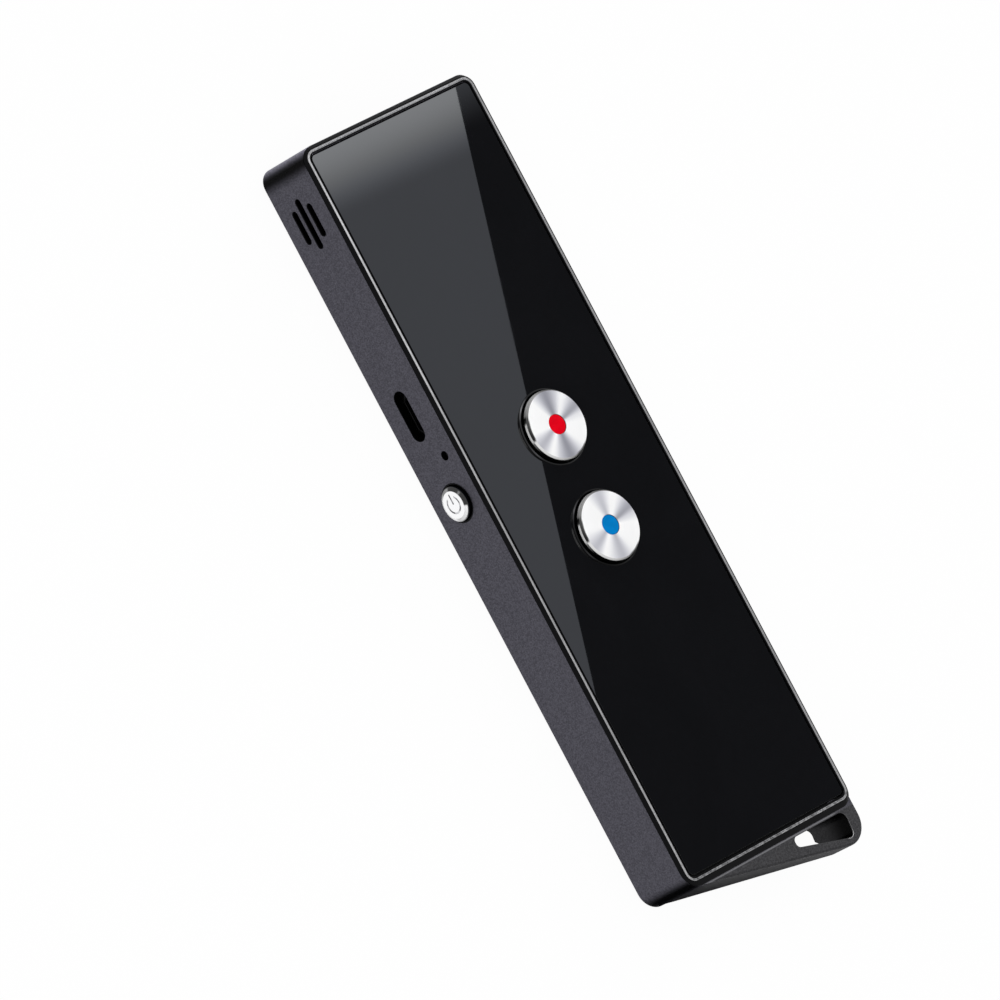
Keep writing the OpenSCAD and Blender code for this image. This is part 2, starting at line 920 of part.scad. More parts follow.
// Part turned about the axis of the power button, from a profile of radius and X
module power_turned(points) {
    translate([0, power_y, power_z])
        rotate([0, 90, 0])
            rotate_extrude()
                polygon(points);
}

// Dark sleeve in the side wall
module power_button_ring() {
    inner_end = -inner_w + 0.25;
    color("#141518")
        power_turned([[power_sleeve_r, -half_w + 0.02], [power_hole_r - 0.02, -half_w + 0.02],
                      [power_hole_r - 0.02, inner_end], [power_sleeve_r, inner_end]]);
}

// Polished power button: domed edge, retaining flange behind the wall, and the power mark
module power_button_cap() {
    edge_w = 0.65;
    edge_h = 0.35;
    mark_r = 1.55;
    mark_w = 0.28;
    mark_depth = 0.12;
    mark_gap = 0.8;
    bar_start = 0.1;
    bar_end = 1.85;
    color("#dcdde0")
    difference() {
        power_turned([
            [0, power_face_x], [power_cap_r - edge_w, power_face_x],
            [power_cap_r, power_face_x + edge_h], [power_cap_r, power_flange_x],
            [power_flange_r, power_flange_x], [power_flange_r, power_flange_x + power_flange_t],
            [1, power_flange_x + power_flange_t], [1, power_stem_x], [0, power_stem_x]
        ]);
        difference() {
            bar_x(power_face_x - past, power_face_x + mark_depth, power_y, power_z, mark_r);
            bar_x(
                power_face_x - 2 * past, power_face_x + mark_depth + past,
                power_y, power_z, mark_r - mark_w
            );
            block([power_face_x - 2 * past, power_y, power_z - mark_gap],
                  [power_face_x + mark_depth + past, power_y + mark_r + past, power_z + mark_gap]);
        }
        block([power_face_x - past, power_y + bar_start, power_z - mark_w / 2],
              [power_face_x + mark_depth, power_y + bar_end, power_z + mark_w / 2]);
    }
}

// Side-pressed switch in the notch of the board
module power_switch_base() {
    switch_end_x = -12.4;
    color("#2a2a2c")
    difference() {
        union() {
            block([power_switch_x, power_y - 2.5, power_z - 1.3],
                  [switch_end_x, power_y + 2.5, power_z + 1.5]);
            block([power_switch_x + 0.5, power_y - 3.8, board_back - 0.3],
                  [switch_end_x - 0.5, power_y + 3.8, board_back]);
        }
        bar_x(power_switch_x - past, power_plunger_x + power_travel + 0.3, power_y, power_z, 1.1);
    }
}

module power_switch_plunger() {
    color("#e0ddd2")
        bar_x(power_stem_x, power_plunger_x, power_y, power_z, 0.9);
}

middle_frame();
front_bezel();
front_glass();
glass_adhesive();
back_cover();
inner_chassis();
chassis_screws();
board_screws();
main_board();
processor_chip();
memory_chip();
wireless_can();
chip_antenna();
small_components();
indicator_led();
light_pipe();
microphone_capsule();
microphone_boot();
microphone_mesh();
usb_socket_shell();
usb_socket_tongue();
usb_contacts();
speaker_mesh();
speaker_gasket();
speaker_basket();
speaker_cone();
voice_coil();
speaker_magnet();
speaker_yoke();
speaker_leads();
battery_cell();
battery_foam_pad();
battery_leads();
battery_plug();
battery_socket();
red_switch_base();
blue_switch_base();
power_switch_base();
red_switch_dome();
blue_switch_dome();
red_button_ring();
blue_button_ring();
power_button_ring();
red_button_cap();
red_button_dot();
red_button_clip();
red_switch_plunger();
blue_button_cap();
blue_button_dot();
blue_button_clip();
blue_switch_plunger();
power_button_cap();
power_switch_plunger();
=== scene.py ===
import logging
import math
from dataclasses import dataclass
from enum import Enum
from typing import Callable, Mapping, Sequence

import bmesh
import bpy
import numpy as np
from mathutils import Matrix, Vector


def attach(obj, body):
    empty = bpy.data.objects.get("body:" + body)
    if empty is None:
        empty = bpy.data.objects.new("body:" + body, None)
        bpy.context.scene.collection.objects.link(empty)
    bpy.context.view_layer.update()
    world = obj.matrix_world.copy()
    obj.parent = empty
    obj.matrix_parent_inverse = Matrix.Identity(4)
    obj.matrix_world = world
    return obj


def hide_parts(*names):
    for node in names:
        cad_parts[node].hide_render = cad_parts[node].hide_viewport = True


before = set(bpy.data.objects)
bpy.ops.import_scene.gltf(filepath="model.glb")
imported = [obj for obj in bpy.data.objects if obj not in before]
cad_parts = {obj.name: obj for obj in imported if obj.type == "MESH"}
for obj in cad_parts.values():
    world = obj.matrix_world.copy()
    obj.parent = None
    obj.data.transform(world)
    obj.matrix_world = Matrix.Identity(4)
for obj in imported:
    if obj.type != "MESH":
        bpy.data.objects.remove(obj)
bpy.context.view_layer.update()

MM = 0.001
PER_METRE = 1000.0
LOG = logging.getLogger("translator")

Colour = tuple[float, float, float]
Side = tuple[float, float]
Stops = tuple[tuple[float, float], ...]
Socket = bpy.types.NodeSocket

WHITE: Colour = (1.0, 1.0, 1.0)
DEEP_BLACK: Colour = (0.003, 0.003, 0.0035)
SOFT_BLACK: Colour = (0.012, 0.012, 0.013)


# ---------------------------------------------------------------- node trees


def rgba(colour: Sequence[float], level: float = 1.0) -> tuple[float, float, float, float]:
    """A linear colour times a level, with full alpha."""
    return (colour[0] * level, colour[1] * level, colour[2] * level, 1.0)


def srgb(code: str) -> Colour:
    """Turns a hex colour into a linear one.

    Args:
        code: six hex digits, such as "4a4950".

    Returns:
        The linear red, green and blue.
    """
    parts = [int(code[i:i + 2], 16) / 255.0 for i in (0, 2, 4)]
    linear = [v / 12.92 if v <= 0.04045 else ((v + 0.055) / 1.055) ** 2.4 for v in parts]
    return (linear[0], linear[1], linear[2])


class GroupName(str, Enum):
    """The shared shader node groups."""

    GRAIN = "fine grain"
    EDGE = "edge line"
    SMUDGE = "handling marks"
    RINGS = "turned rings"
    WEAVE = "woven mesh"


class Nodes:
    """A node tree with short calls for the nodes that the finishes use."""

    def __init__(self, tree: bpy.types.NodeTree) -> None:
        """Keeps the tree that the calls add to."""
        self.tree = tree

    def add(self, kind: str, inputs: Mapping | None = None, **properties: object) -> bpy.types.Node:
        """Adds one node.

        Args:
            kind: the node's type name without "ShaderNode".
            inputs: input name or index to a value or an output socket.
            properties: the node's own settings.

        Returns:
            The new node.
        """
        node = self.tree.nodes.new(kind if kind.startswith("Node") else "ShaderNode" + kind)
        for key, value in properties.items():
            setattr(node, key, value)
        for key, value in (inputs or {}).items():
            self.feed(node.inputs[key], value)
        return node

    def feed(self, socket: Socket, value: object) -> None:
        """Links an output to the socket, or stores a plain value in it.

        Args:
            socket: the input to fill.
            value: an output socket or a plain value.
        """
        if isinstance(value, Socket):
            self.tree.links.new(value, socket)
        else:
            socket.default_value = value

    def group(self, name: GroupName, **inputs: object) -> Mapping[str, Socket]:
        """Places a shared group.

        Args:
            name: which group.
            inputs: input names, with underscores for spaces, to values or sockets.

        Returns:
            The group's outputs by name.
        """
        node = self.add("Group")
        node.node_tree = Groups.get(name)
        for key, value in inputs.items():
            self.feed(node.inputs[key.replace("_", " ")], value)
        return node.outputs

    def math(self, operation: str, a: object, b: object = 0.0, clamp: bool = False) -> Socket:
        """Adds a Math node and returns its value."""
        return self.add("Math", {0: a, 1: b}, operation=operation, use_clamp=clamp).outputs[0]

    def product(self, first: object, *others: object) -> Socket:
        """Multiplies values, one after the other.

        Args:
            first: the first value.
            others: those that it is multiplied by.

        Returns:
            Their product.
        """
        result = first
        for other in others:
            result = self.math("MULTIPLY", result, other)
        return result

    def vector(self, operation: str, a: object, b: object = (0.0, 0.0, 0.0)) -> bpy.types.Node:
        """Adds a Vector Math node."""
        return self.add("VectorMath", {0: a, 1: b}, operation=operation)

    def scaled(self, colour: object, level: object) -> Socket:
        """A colour times a level."""
        return self.add("VectorMath", {0: colour, "Scale": level}, operation="SCALE").outputs[0]

    def dot(self, a: object, b: object) -> Socket:
        """The dot product of two vectors."""
        return self.vector("DOT_PRODUCT", a, b).outputs["Value"]

    def length(self, vector: object) -> Socket:
        """The length of a vector."""
        return self.vector("LENGTH", vector).outputs["Value"]

    def flat(self, a: object, b: object = 0.0) -> Socket:
        """The vector (a, b, 0)."""
        return self.add("CombineXYZ", {0: a, 1: b, 2: 0.0}).outputs[0]

    def split(self, vector: object) -> tuple[Socket, ...]:
        """The three parts of a vector."""
        return tuple(self.add("SeparateXYZ", {0: vector}).outputs)

    def mix(self, factor: object, a: object, b: object) -> Socket:
        """Adds a colour mix of a and b and returns its result."""
        return self.add("Mix", {"Factor": factor, 6: a, 7: b}, data_type="RGBA").outputs[2]

    def blend(self, factor: object, a: object, b: object) -> Socket:
        """Adds a mix of two values and returns its result."""
        return self.add("Mix", {"Factor": factor, 2: a, 3: b}, data_type="FLOAT").outputs[0]

    def ramp(self, value: object, low: float, high: float, to_low: float = 0.0, to_high: float = 1.0) -> Socket:
        """Adds a clamped, smooth Map Range from low..high to to_low..to_high."""
        limits = {"Value": value, "From Min": low, "From Max": high, "To Min": to_low, "To Max": to_high}
        return self.add("MapRange", limits, interpolation_type="SMOOTHSTEP").outputs["Result"]

    def between(self, value: object, sides: Sequence[Side]) -> Socket:
        """A mask with soft sides, each given by where the mask is 0 and where it is 1."""
        return self.product(*(self.ramp(value, *side) for side in sides))

    def by_angle(self, turn: object, stops: Sequence[tuple[float, float]], curve: str = "EASE") -> Socket:
        """Gives a level that depends on the angle.

        Args:
            turn: the angle, as a fraction from 0 to 1.
            stops: degrees and level of each stop; the last one's degrees stand for the fraction 1.
            curve: how the colour ramp joins the stops.

        Returns:
            The level, as a grey colour.
        """
        node = self.add("ValToRGB", {"Fac": turn})
        ramp = node.color_ramp
        while len(ramp.elements) < len(stops):
            ramp.elements.new(0.5)
        for place, (degrees, level) in zip(ramp.elements, stops):
            place.position = degrees / stops[-1][0]
            place.color = rgba(WHITE, level)
        ramp.interpolation = curve
        return node.outputs["Color"]

    def object_point(self, stretch: Sequence[float] = (1.0, 1.0, 1.0),
                     centre_mm: Sequence[float] = (0.0, 0.0, 0.0)) -> Socket:
        """Gives Object coordinates in metres, from a centre.

        Args:
            stretch: what each coordinate is multiplied by.
            centre_mm: the point that becomes the origin, in millimetres.

        Returns:
            The coordinates.
        """
        source = self.add("TexCoord").outputs["Object"]
        moved = self.vector("SUBTRACT", source, tuple(v * MM for v in centre_mm)).outputs[0]
        return self.vector("MULTIPLY", moved, tuple(stretch)).outputs[0]

    def point_mm(self, centre_mm: Sequence[float] = (0.0, 0.0, 0.0)) -> Socket:
        """Gives Object coordinates in millimetres, from a centre."""
        return self.object_point((PER_METRE,) * 3, centre_mm)

    def noise(self, point: object, scale: object, detail: float = 2.0, roughness: float = 0.5,
              distortion: float = 0.0) -> Socket:
        """Adds a noise texture and returns its value."""
        inputs = {"Vector": point, "Scale": scale, "Detail": detail, "Roughness": roughness,
                  "Distortion": distortion}
        return self.add("TexNoise", inputs).outputs[0]

    def bump(self, height: object, depth_mm: float, strength: float) -> Socket:
        """Gives the normal of a height, of which 1 stands for depth_mm."""
        inputs = {"Height": height, "Distance": depth_mm * MM, "Strength": strength}
        return self.add("Bump", inputs).outputs[0]

    def seen(self) -> Socket:
        """Adds a mask of the rays that see a thing directly, in a mirror or through glass.

        Returns:
            The mask, which belongs in a material's own tree.
        """
        path = self.add("LightPath").outputs
        direct = self.math("MAXIMUM", path["Is Camera Ray"], path["Is Glossy Ray"])
        return self.math("MAXIMUM", direct, path["Is Transmission Ray"])


class Groups:
    """The shader node groups that more than one finish uses, each built once."""

    _built: dict[GroupName, bpy.types.NodeTree] = {}

    @classmethod
    def get(cls, name: GroupName) -> bpy.types.NodeTree:
        """Builds the named group on its first use.

        Args:
            name: which group.

        Returns:
            The group's tree.
        """
        makers: dict[GroupName, Callable[[], bpy.types.NodeTree]] = {
            GroupName.GRAIN: cls._grain,
            GroupName.EDGE: cls._edge,
            GroupName.SMUDGE: cls._smudge,
            GroupName.RINGS: cls._rings,
            GroupName.WEAVE: cls._weave,
        }
        if name not in cls._built:
            cls._built[name] = makers[name]()
        return cls._built[name]

    @staticmethod
    def _start(name: GroupName, inputs: Mapping[str, float | None], outputs: Sequence[str]
               ) -> tuple[Nodes, Mapping[str, Socket], Mapping[str, Socket]]:
        """Makes an empty group with its sockets.

        Args:
            name: the group's name.
            inputs: each input's name and default; None makes it a vector.
            outputs: the name of each value that the group puts out.

        Returns:
            The short calls for its tree, what it is given by name, and what it puts out by name.
        """
        tree = bpy.data.node_groups.new(name.value, "ShaderNodeTree")
        for label, default in inputs.items():
            kind = "NodeSocketVector" if default is None else "NodeSocketFloat"
            socket = tree.interface.new_socket(label, in_out="INPUT", socket_type=kind)
            if default is not None:
                socket.default_value = default
        for label in outputs:
            tree.interface.new_socket(label, in_out="OUTPUT", socket_type="NodeSocketFloat")
        nodes = Nodes(tree)
        return nodes, nodes.add("NodeGroupInput").outputs, nodes.add("NodeGroupOutput").inputs

    @classmethod
    def _grain(cls) -> bpy.types.NodeTree:
        """Blasted grain: two sizes of noise as a height, a mask of rare pale specks, and a broad cloud.

        Returns:
            The group's tree.
        """
        nodes, given, out = cls._start(
            GroupName.GRAIN, {"Vector": None, "Grain per mm": 6.0}, ("Height", "Specks", "Cloud"))
        point = given["Vector"]
        scale = nodes.math("MULTIPLY", given["Grain per mm"], PER_METRE)
        fine = nodes.noise(point, scale, 3.0)
        coarse = nodes.noise(point, nodes.math("MULTIPLY", scale, 0.55))
        nodes.feed(out["Height"], nodes.math("ADD", fine, nodes.math("MULTIPLY", coarse, 0.6)))
        cells = nodes.add("TexVoronoi", {"Vector": point, "Scale": scale}).outputs
        rare = nodes.math("GREATER_THAN", nodes.split(cells["Color"])[0], 0.7)
        nodes.feed(out["Specks"], nodes.product(nodes.ramp(cells["Distance"], 0.34, 0.08), rare))
        nodes.feed(out["Cloud"], nodes.noise(point, 60.0, 3.0))
        return nodes.tree

    @classmethod
    def _edge(cls) -> bpy.types.NodeTree:
        """Mask that is 1 along sharp edges, where the surface normal differs from a rounded one.

        Returns:
            The group's tree.
        """
        nodes, given, out = cls._start(GroupName.EDGE, {"Width mm": 0.15}, ("Mask",))
        radius = nodes.math("MULTIPLY", given["Width mm"], MM)
        rounded = nodes.add("Bevel", {"Radius": radius}, samples=6).outputs[0]
        same = nodes.dot(rounded, nodes.add("NewGeometry").outputs["Normal"])
        nodes.feed(out["Mask"], nodes.ramp(same, 0.995, 0.85))
        return nodes.tree

    @classmethod
    def _smudge(cls) -> bpy.types.NodeTree:
        """Faint wipes and finger marks, as a value round 0.5.

        Returns:
            The group's tree.
        """
        nodes, given, out = cls._start(GroupName.SMUDGE, {"Vector": None}, ("Value",))
        broad = nodes.noise(given["Vector"], 45.0, 4.0, distortion=1.2)
        fine = nodes.noise(given["Vector"], 900.0)
        shares = nodes.math("MULTIPLY", broad, 0.7), nodes.math("MULTIPLY", fine, 0.3)
        nodes.feed(out["Value"], nodes.math("ADD", *shares))
        return nodes.tree

    @classmethod
    def _rings(cls) -> bpy.types.NodeTree:
        """Turning marks: noise of the distance from the Z axis, and the angle as a fraction of a turn.

        Returns:
            The group's tree.
        """
        nodes, given, out = cls._start(
            GroupName.RINGS, {"Vector": None, "Rings per mm": 8.0}, ("Height", "Turn"))
        x, y, _ = nodes.split(given["Vector"])
        along = nodes.flat(nodes.length(nodes.flat(x, y)))
        scale = nodes.math("MULTIPLY", given["Rings per mm"], PER_METRE)
        nodes.feed(out["Height"], nodes.noise(along, scale))
        turns = nodes.math("DIVIDE", nodes.math("ARCTAN2", y, x), 2.0 * math.pi)
        nodes.feed(out["Turn"], nodes.math("FRACT", nodes.math("ADD", turns, 1.0)))
        return nodes.tree

    @classmethod
    def _weave(cls) -> bpy.types.NodeTree:
        """Plain weave: the higher of two crossed waves, each lifted where its thread passes over.

        Returns:
            The group's tree.
        """
        nodes, given, out = cls._start(
            GroupName.WEAVE, {"Vector": None, "Threads per mm": 4.0}, ("Height", "Gap"))
        turn = nodes.math("MULTIPLY", given["Threads per mm"], PER_METRE * math.pi)
        warp, weft = (nodes.math("SINE", nodes.math("MULTIPLY", value, turn))
                      for value in nodes.split(given["Vector"])[:2])
        lift = nodes.product(warp, weft, 0.25)
        high = nodes.math("MAXIMUM", nodes.math("ADD", nodes.math("ABSOLUTE", warp), lift),
                          nodes.math("SUBTRACT", nodes.math("ABSOLUTE", weft), lift))
        nodes.feed(out["Height"], high)
        nodes.feed(out["Gap"], nodes.ramp(high, 0.55, 0.3))
        return nodes.tree


def new_material(name: str) -> tuple[bpy.types.Material, Nodes]:
    """Makes a material with an empty tree.

    Args:
        name: the material's name.

    Returns:
        The material and the short calls for its tree.
    """
    material = bpy.data.materials.new(name)
    material.use_nodes = True
    material.node_tree.nodes.clear()
    return material, Nodes(material.node_tree)


# ---------------------------------------------------------------- places on the object


@dataclass(frozen=True)
class Zone:
    """A part of the object, as a mask with soft sides.

    Each side is a pair of millimetres: where the mask is 0 and where it is 1.

    Attributes:
        x: the sides across the object.
        y: those along it.
        z: those in height over the back face.
    """

    x: tuple[Side, ...] = ()
    y: tuple[Side, ...] = ()
    z: tuple[Side, ...] = ()

    def mask(self, nodes: Nodes, place: Sequence[Socket]) -> Socket:
        """The mask: the product of a smooth step for each side.

        Args:
            nodes: the tree.
            place: x, y and z in millimetres.

        Returns:
            The mask.
        """
        sides = zip(place, (self.x, self.y, self.z))
        return nodes.product(*(nodes.between(value, own) for value, own in sides if own))


@dataclass(frozen=True)
class AngleLevels:
    """Painted reflection levels that change with the angle round an upright axis.

    Attributes:
        axis_xy_mm: where the axis stands.
        stops: degrees from +X and the level there, over a whole turn. A level may be over 1.
    """

    axis_xy_mm: tuple[float, float]
    stops: Stops

    def level(self, nodes: Nodes) -> Socket:
        """The level, straight from stop to stop.

        Args:
            nodes: the tree.

        Returns:
            The level.
        """
        point = nodes.object_point(centre_mm=(*self.axis_xy_mm, 0.0))
        turn = nodes.group(GroupName.RINGS, Vector=point)["Turn"]
        highest = max(level for _, level in self.stops)
        shares = [(degrees, level / highest) for degrees, level in self.stops]
        return nodes.scaled(nodes.by_angle(turn, shares, "LINEAR"), highest)


# ---------------------------------------------------------------- finishes


@dataclass(frozen=True)
class Finish:
    """What every finish has: a name, and the plain values of its Principled shader.

    Attributes:
        name: the material's name.
        colour: the main linear colour.
        roughness: the main roughness.
        metallic: the plain metallic value.
    """

    name: str
    colour: Colour
    roughness: float
    metallic: float = 0.0

    def build(self) -> bpy.types.Material:
        """Makes the material from the plain values and from what the finish feeds over them.

        Returns:
            The material.
        """
        material, nodes = new_material(self.name)
        plain = {"Base Color": rgba(self.colour), "Roughness": self.roughness, "Metallic": self.metallic}
        shader = nodes.add("BsdfPrincipled", plain | self.feeds(nodes))
        nodes.add("OutputMaterial", {"Surface": shader.outputs[0]})
        material.diffuse_color = rgba(self.colour)
        return material

    def feeds(self, nodes: Nodes) -> dict[str, object]:
        """What the shader is fed with: the names of its inputs to values or sockets.

        Args:
            nodes: the material's tree.

        Returns:
            The names of the shader's inputs to values or sockets.
        """
        raise NotImplementedError


@dataclass(frozen=True)
class Anodised(Finish):
    """Bead-blasted aluminium in dark anodising dye: fine grain, pale specks and lighter edges, partly rubbed and
    partly painted highlight; with painted shade, highlights and reflections round the eye, the openings and the
    left corners.

    Attributes:
        specks: colour of the specks, of rubbed edges and of the painted highlight lines.
        pits: what is left of the colour in the grain's pits.
        peaks: the same on its peaks.
        grain_per_mm: how fine the grain is.
        edge_mm: width of a rubbed edge.
        edge_tint: the shader's specular tint.
        faint: how much the edges are rubbed where nothing rubs them.
        worn: how much where something does; there the lighter edge also stands for a painted highlight.
        back_z_mm: the back edge, which is rubbed and carries a painted highlight.
        end_y_mm: the bottom end, whose edges are rubbed and carry a painted highlight.
        eye_rim_highlight_line: the painted highlight line between the eye and the rim.
        eye_rim_highlight_level: how bright that painted highlight line is.
        slot_lip_highlight: colour of the painted highlight on the edge at the wide end of the eye's slot.
        slot_lip_highlight_zone: where that edge is.
        slot_lip_highlight_y_mm: along it, where the painted highlight is faint and where it is bright.
        bore_painted_shade: colour of the painted shade on the walls inside the left side's openings.
        bores: where those walls are, but for how deep they start.
        bore_mouth_mm: x at which they start.
        socket_mouth: where they start further in, for the socket.
        socket_step_mm: how much further in.
        eye_saturation: how much saturation the eye has.
        eye_y_mm: where the eye starts.
        eye_face_shade: painted shade on the eye's face: what is left of the colour there.
        eye_front: where that face is.
        eye_slant: how much the eye's slot leans, as a share of x.
        brink_mm: the slot's lower brink, along the slant.
        brink_shade_level: painted shade along the brink: what is left of the face's colour there.
        slot_shade_zone: the wall inside the slot, which is painted dark as shade, but for its lower end.
        slot_end_mm: its lower end, along the slant.
        bottom_corner_painted_reflection: painted reflection levels round the bottom left corner: a dark core and
            its falloff.
        top_corner_painted_reflection: painted reflection levels round the top left corner: a painted highlight and
            a dark core.
    """

    metallic: float = 0.85
    specks: Colour = (0.26, 0.26, 0.28)
    pits: float = 0.66
    peaks: float = 1.24
    grain_per_mm: float = 4.4
    edge_mm: float = 0.12
    edge_tint: float = 0.35
    faint: float = 0.04
    worn: float = 0.5
    back_z_mm: Side = (1.8, 1.2)
    end_y_mm: Side = (-63.0, -63.5)
    # Painted highlight line between the eye and the rim.
    eye_rim_highlight_line: Zone = Zone(x=((16.0, 14.5),), y=((-64.12, -64.02), (-63.76, -63.86)), z=((11.9, 11.97),))
    eye_rim_highlight_level: float = 0.55
    # Painted highlight on the lip at the wide end of the eye's slot.
    slot_lip_highlight: Colour = (0.8, 0.8, 0.8)
    slot_lip_highlight_zone: Zone = Zone(x=((15.2, 15.7), (18.2, 17.9)), y=((-64.4, -65.0), (-68.9, -68.7)), z=((11.8, 11.9),))
    slot_lip_highlight_y_mm: Side = (-67.3, -68.2)
    # Painted shade: the walls inside the side openings are darkened to near black.
    bore_painted_shade: Colour = DEEP_BLACK
    bores: Zone = Zone(x=((-12.0, -13.0),), y=((4.0, 4.2), (65.0, 64.8)), z=((2.4, 2.7), (11.0, 10.6)))
    bore_mouth_mm: Side = (-19.985, -19.965)
    socket_mouth: Zone = Zone(y=((18.9, 19.0), (29.5, 29.4)))
    socket_step_mm: float = 0.05
    eye_saturation: float = 0.3
    eye_y_mm: Side = (-64.4, -63.4)
    # Painted shade on the eye's face, along its brink and inside its slot.
    eye_face_shade: float = 0.64
    eye_front: Zone = Zone(y=((-63.95, -64.1),), z=((11.85, 11.95),))
    eye_slant: float = 0.19
    brink_mm: tuple[Side, Side] = ((-66.84, -66.74), (-66.4, -66.52))
    brink_shade_level: float = 0.72
    slot_shade_zone: Zone = Zone(x=((4.3, 4.6), (17.8, 17.65)), y=((-64.1, -64.18),), z=((11.95, 11.85),))
    slot_end_mm: Side = (-65.95, -65.85)
    # Painted reflections round the left corners: a dark core at each, and a painted highlight at the top.
    bottom_corner_painted_reflection: AngleLevels = AngleLevels((-16.6, -60.4), (
        (0.0, 1.0), (194.0, 1.0), (200.0, 0.87), (206.0, 0.68), (212.0, 0.42), (218.0, 0.2), (224.0, 0.08),
        (230.0, 0.06), (242.0, 0.12), (250.0, 0.3), (262.0, 0.65), (278.0, 1.0), (360.0, 1.0)))
    top_corner_painted_reflection: AngleLevels = AngleLevels((-17.3, 67.1), (
        (0.0, 1.0), (86.0, 1.0), (94.0, 4.0), (112.0, 4.0), (120.0, 3.0), (126.0, 2.1), (132.0, 1.6),
        (138.0, 0.85), (144.0, 0.4), (150.0, 0.14), (156.0, 0.03), (168.0, 0.03), (174.0, 0.1), (180.0, 0.22),
        (192.0, 0.55), (202.0, 0.87), (212.0, 1.0), (360.0, 1.0)))

    def feeds(self, nodes: Nodes) -> dict[str, object]:
        """Grain and rubbed edges with painted highlight lines, and over them painted shade on the eye and in the
        bores, and painted reflections round the corners.

        Args:
            nodes: the material's tree.

        Returns:
            The names of the shader's inputs to values or sockets.
        """
        place = nodes.split(nodes.point_mm())
        grain = nodes.group(GroupName.GRAIN, Vector=nodes.object_point(), Grain_per_mm=self.grain_per_mm)
        edge = nodes.group(GroupName.EDGE, Width_mm=self.edge_mm)["Mask"]
        tone = nodes.ramp(grain["Height"], 0.6, 1.0)
        base = nodes.mix(tone, rgba(self.colour, self.pits), rgba(self.colour, self.peaks))
        spotted = nodes.mix(nodes.product(grain["Specks"], 0.3), base, rgba(self.specks))
        # rubbed edges, with painted highlights along the back edge, the bottom end and the eye's rim
        worn = nodes.mix(self.rubbed(nodes, place, edge), spotted, rgba(self.specks))
        cool = nodes.ramp(place[1], *self.eye_y_mm, self.eye_saturation, 1.0)
        toned = nodes.add("HueSaturation", {"Saturation": cool, "Color": worn}).outputs[0]
        # painted shade on the eye
        painted_light_colour = nodes.scaled(toned, self.eye_painted_shade(nodes, place))
        # painted reflections round the two left corners
        for corner in (self.bottom_corner_painted_reflection, self.top_corner_painted_reflection):
            painted_light_colour = nodes.scaled(painted_light_colour, corner.level(nodes))
        # painted highlight on the slot's lip
        with_slot_highlight = nodes.mix(self.slot_lip_highlight_mask(nodes, place), painted_light_colour, rgba(self.slot_lip_highlight))
        return {
            # painted shade inside the side openings
            "Base Color": nodes.mix(self.bore_shade_mask(nodes, place), with_slot_highlight, rgba(self.bore_painted_shade)),
            "Specular Tint": rgba(WHITE, self.edge_tint),
            "Roughness": nodes.ramp(grain["Height"], 0.5, 1.1, self.roughness - 0.06, self.roughness + 0.08),
            "Normal": nodes.bump(grain["Height"], 0.012, 0.6),
        }

    def rubbed(self, nodes: Nodes, place: Sequence[Socket], edge: Socket) -> Socket:
        """Mask of the rubbed edges, partly a painted highlight: strong at the back edge and round the lanyard eye,
        faint elsewhere, with a painted highlight line between the eye and the rim.

        Args:
            nodes: the tree.
            place: x, y and z in millimetres.
            edge: the mask of all sharp edges.

        Returns:
            The mask.
        """
        # the strong part also stands for a painted highlight
        strong = nodes.math("MAXIMUM", nodes.ramp(place[2], *self.back_z_mm),
                            nodes.ramp(place[1], *self.end_y_mm))
        edges = nodes.product(edge, nodes.blend(strong, self.faint, self.worn))
        line = nodes.product(self.eye_rim_highlight_line.mask(nodes, place), self.eye_rim_highlight_level)
        return nodes.math("MAXIMUM", edges, line)

    def slot_lip_highlight_mask(self, nodes: Nodes, place: Sequence[Socket]) -> Socket:
        """Mask of the painted highlight on the edge at the wide end of the eye's slot, strongest at its outer
        corner.

        Args:
            nodes: the tree.
            place: x, y and z in millimetres.

        Returns:
            The mask.
        """
        edge = nodes.group(GroupName.EDGE, Width_mm=0.3)["Mask"]
        level = nodes.ramp(place[1], *self.slot_lip_highlight_y_mm, 0.14, 1.0)
        return nodes.product(edge, self.slot_lip_highlight_zone.mask(nodes, place), level)

    def bore_shade_mask(self, nodes: Nodes, place: Sequence[Socket]) -> Socket:
        """Mask of the painted shade on the walls inside the openings of the left side.

        Args:
            nodes: the tree.
            place: x, y and z in millimetres.

        Returns:
            The mask.
        """
        step = nodes.product(self.socket_mouth.mask(nodes, place), -self.socket_step_mm)
        mouth = nodes.ramp(nodes.math("ADD", place[0], step), *self.bore_mouth_mm)
        return nodes.product(mouth, self.bores.mask(nodes, place))

    def eye_painted_shade(self, nodes: Nodes, place: Sequence[Socket]) -> Socket:
        """Painted shade: how much of the colour is left, less on the eye's face and its brink, and least on the
        wall inside its slot.

        Args:
            nodes: the tree.
            place: x, y and z in millimetres.

        Returns:
            The level, from 0 to 1.
        """
        slanted = nodes.math("ADD", place[1], nodes.product(place[0], self.eye_slant))
        # painted shade inside the slot, darkest near its front
        inside = nodes.product(self.slot_shade_zone.mask(nodes, place), nodes.ramp(slanted, *self.slot_end_mm))
        brink = nodes.between(slanted, self.brink_mm)
        front = nodes.blend(brink, self.eye_face_shade, self.eye_face_shade * self.brink_shade_level)
        face = nodes.blend(self.eye_front.mask(nodes, place), 1.0, front)
        return nodes.blend(inside, face, nodes.ramp(place[2], 10.6, 5.0, 0.04, 0.38))


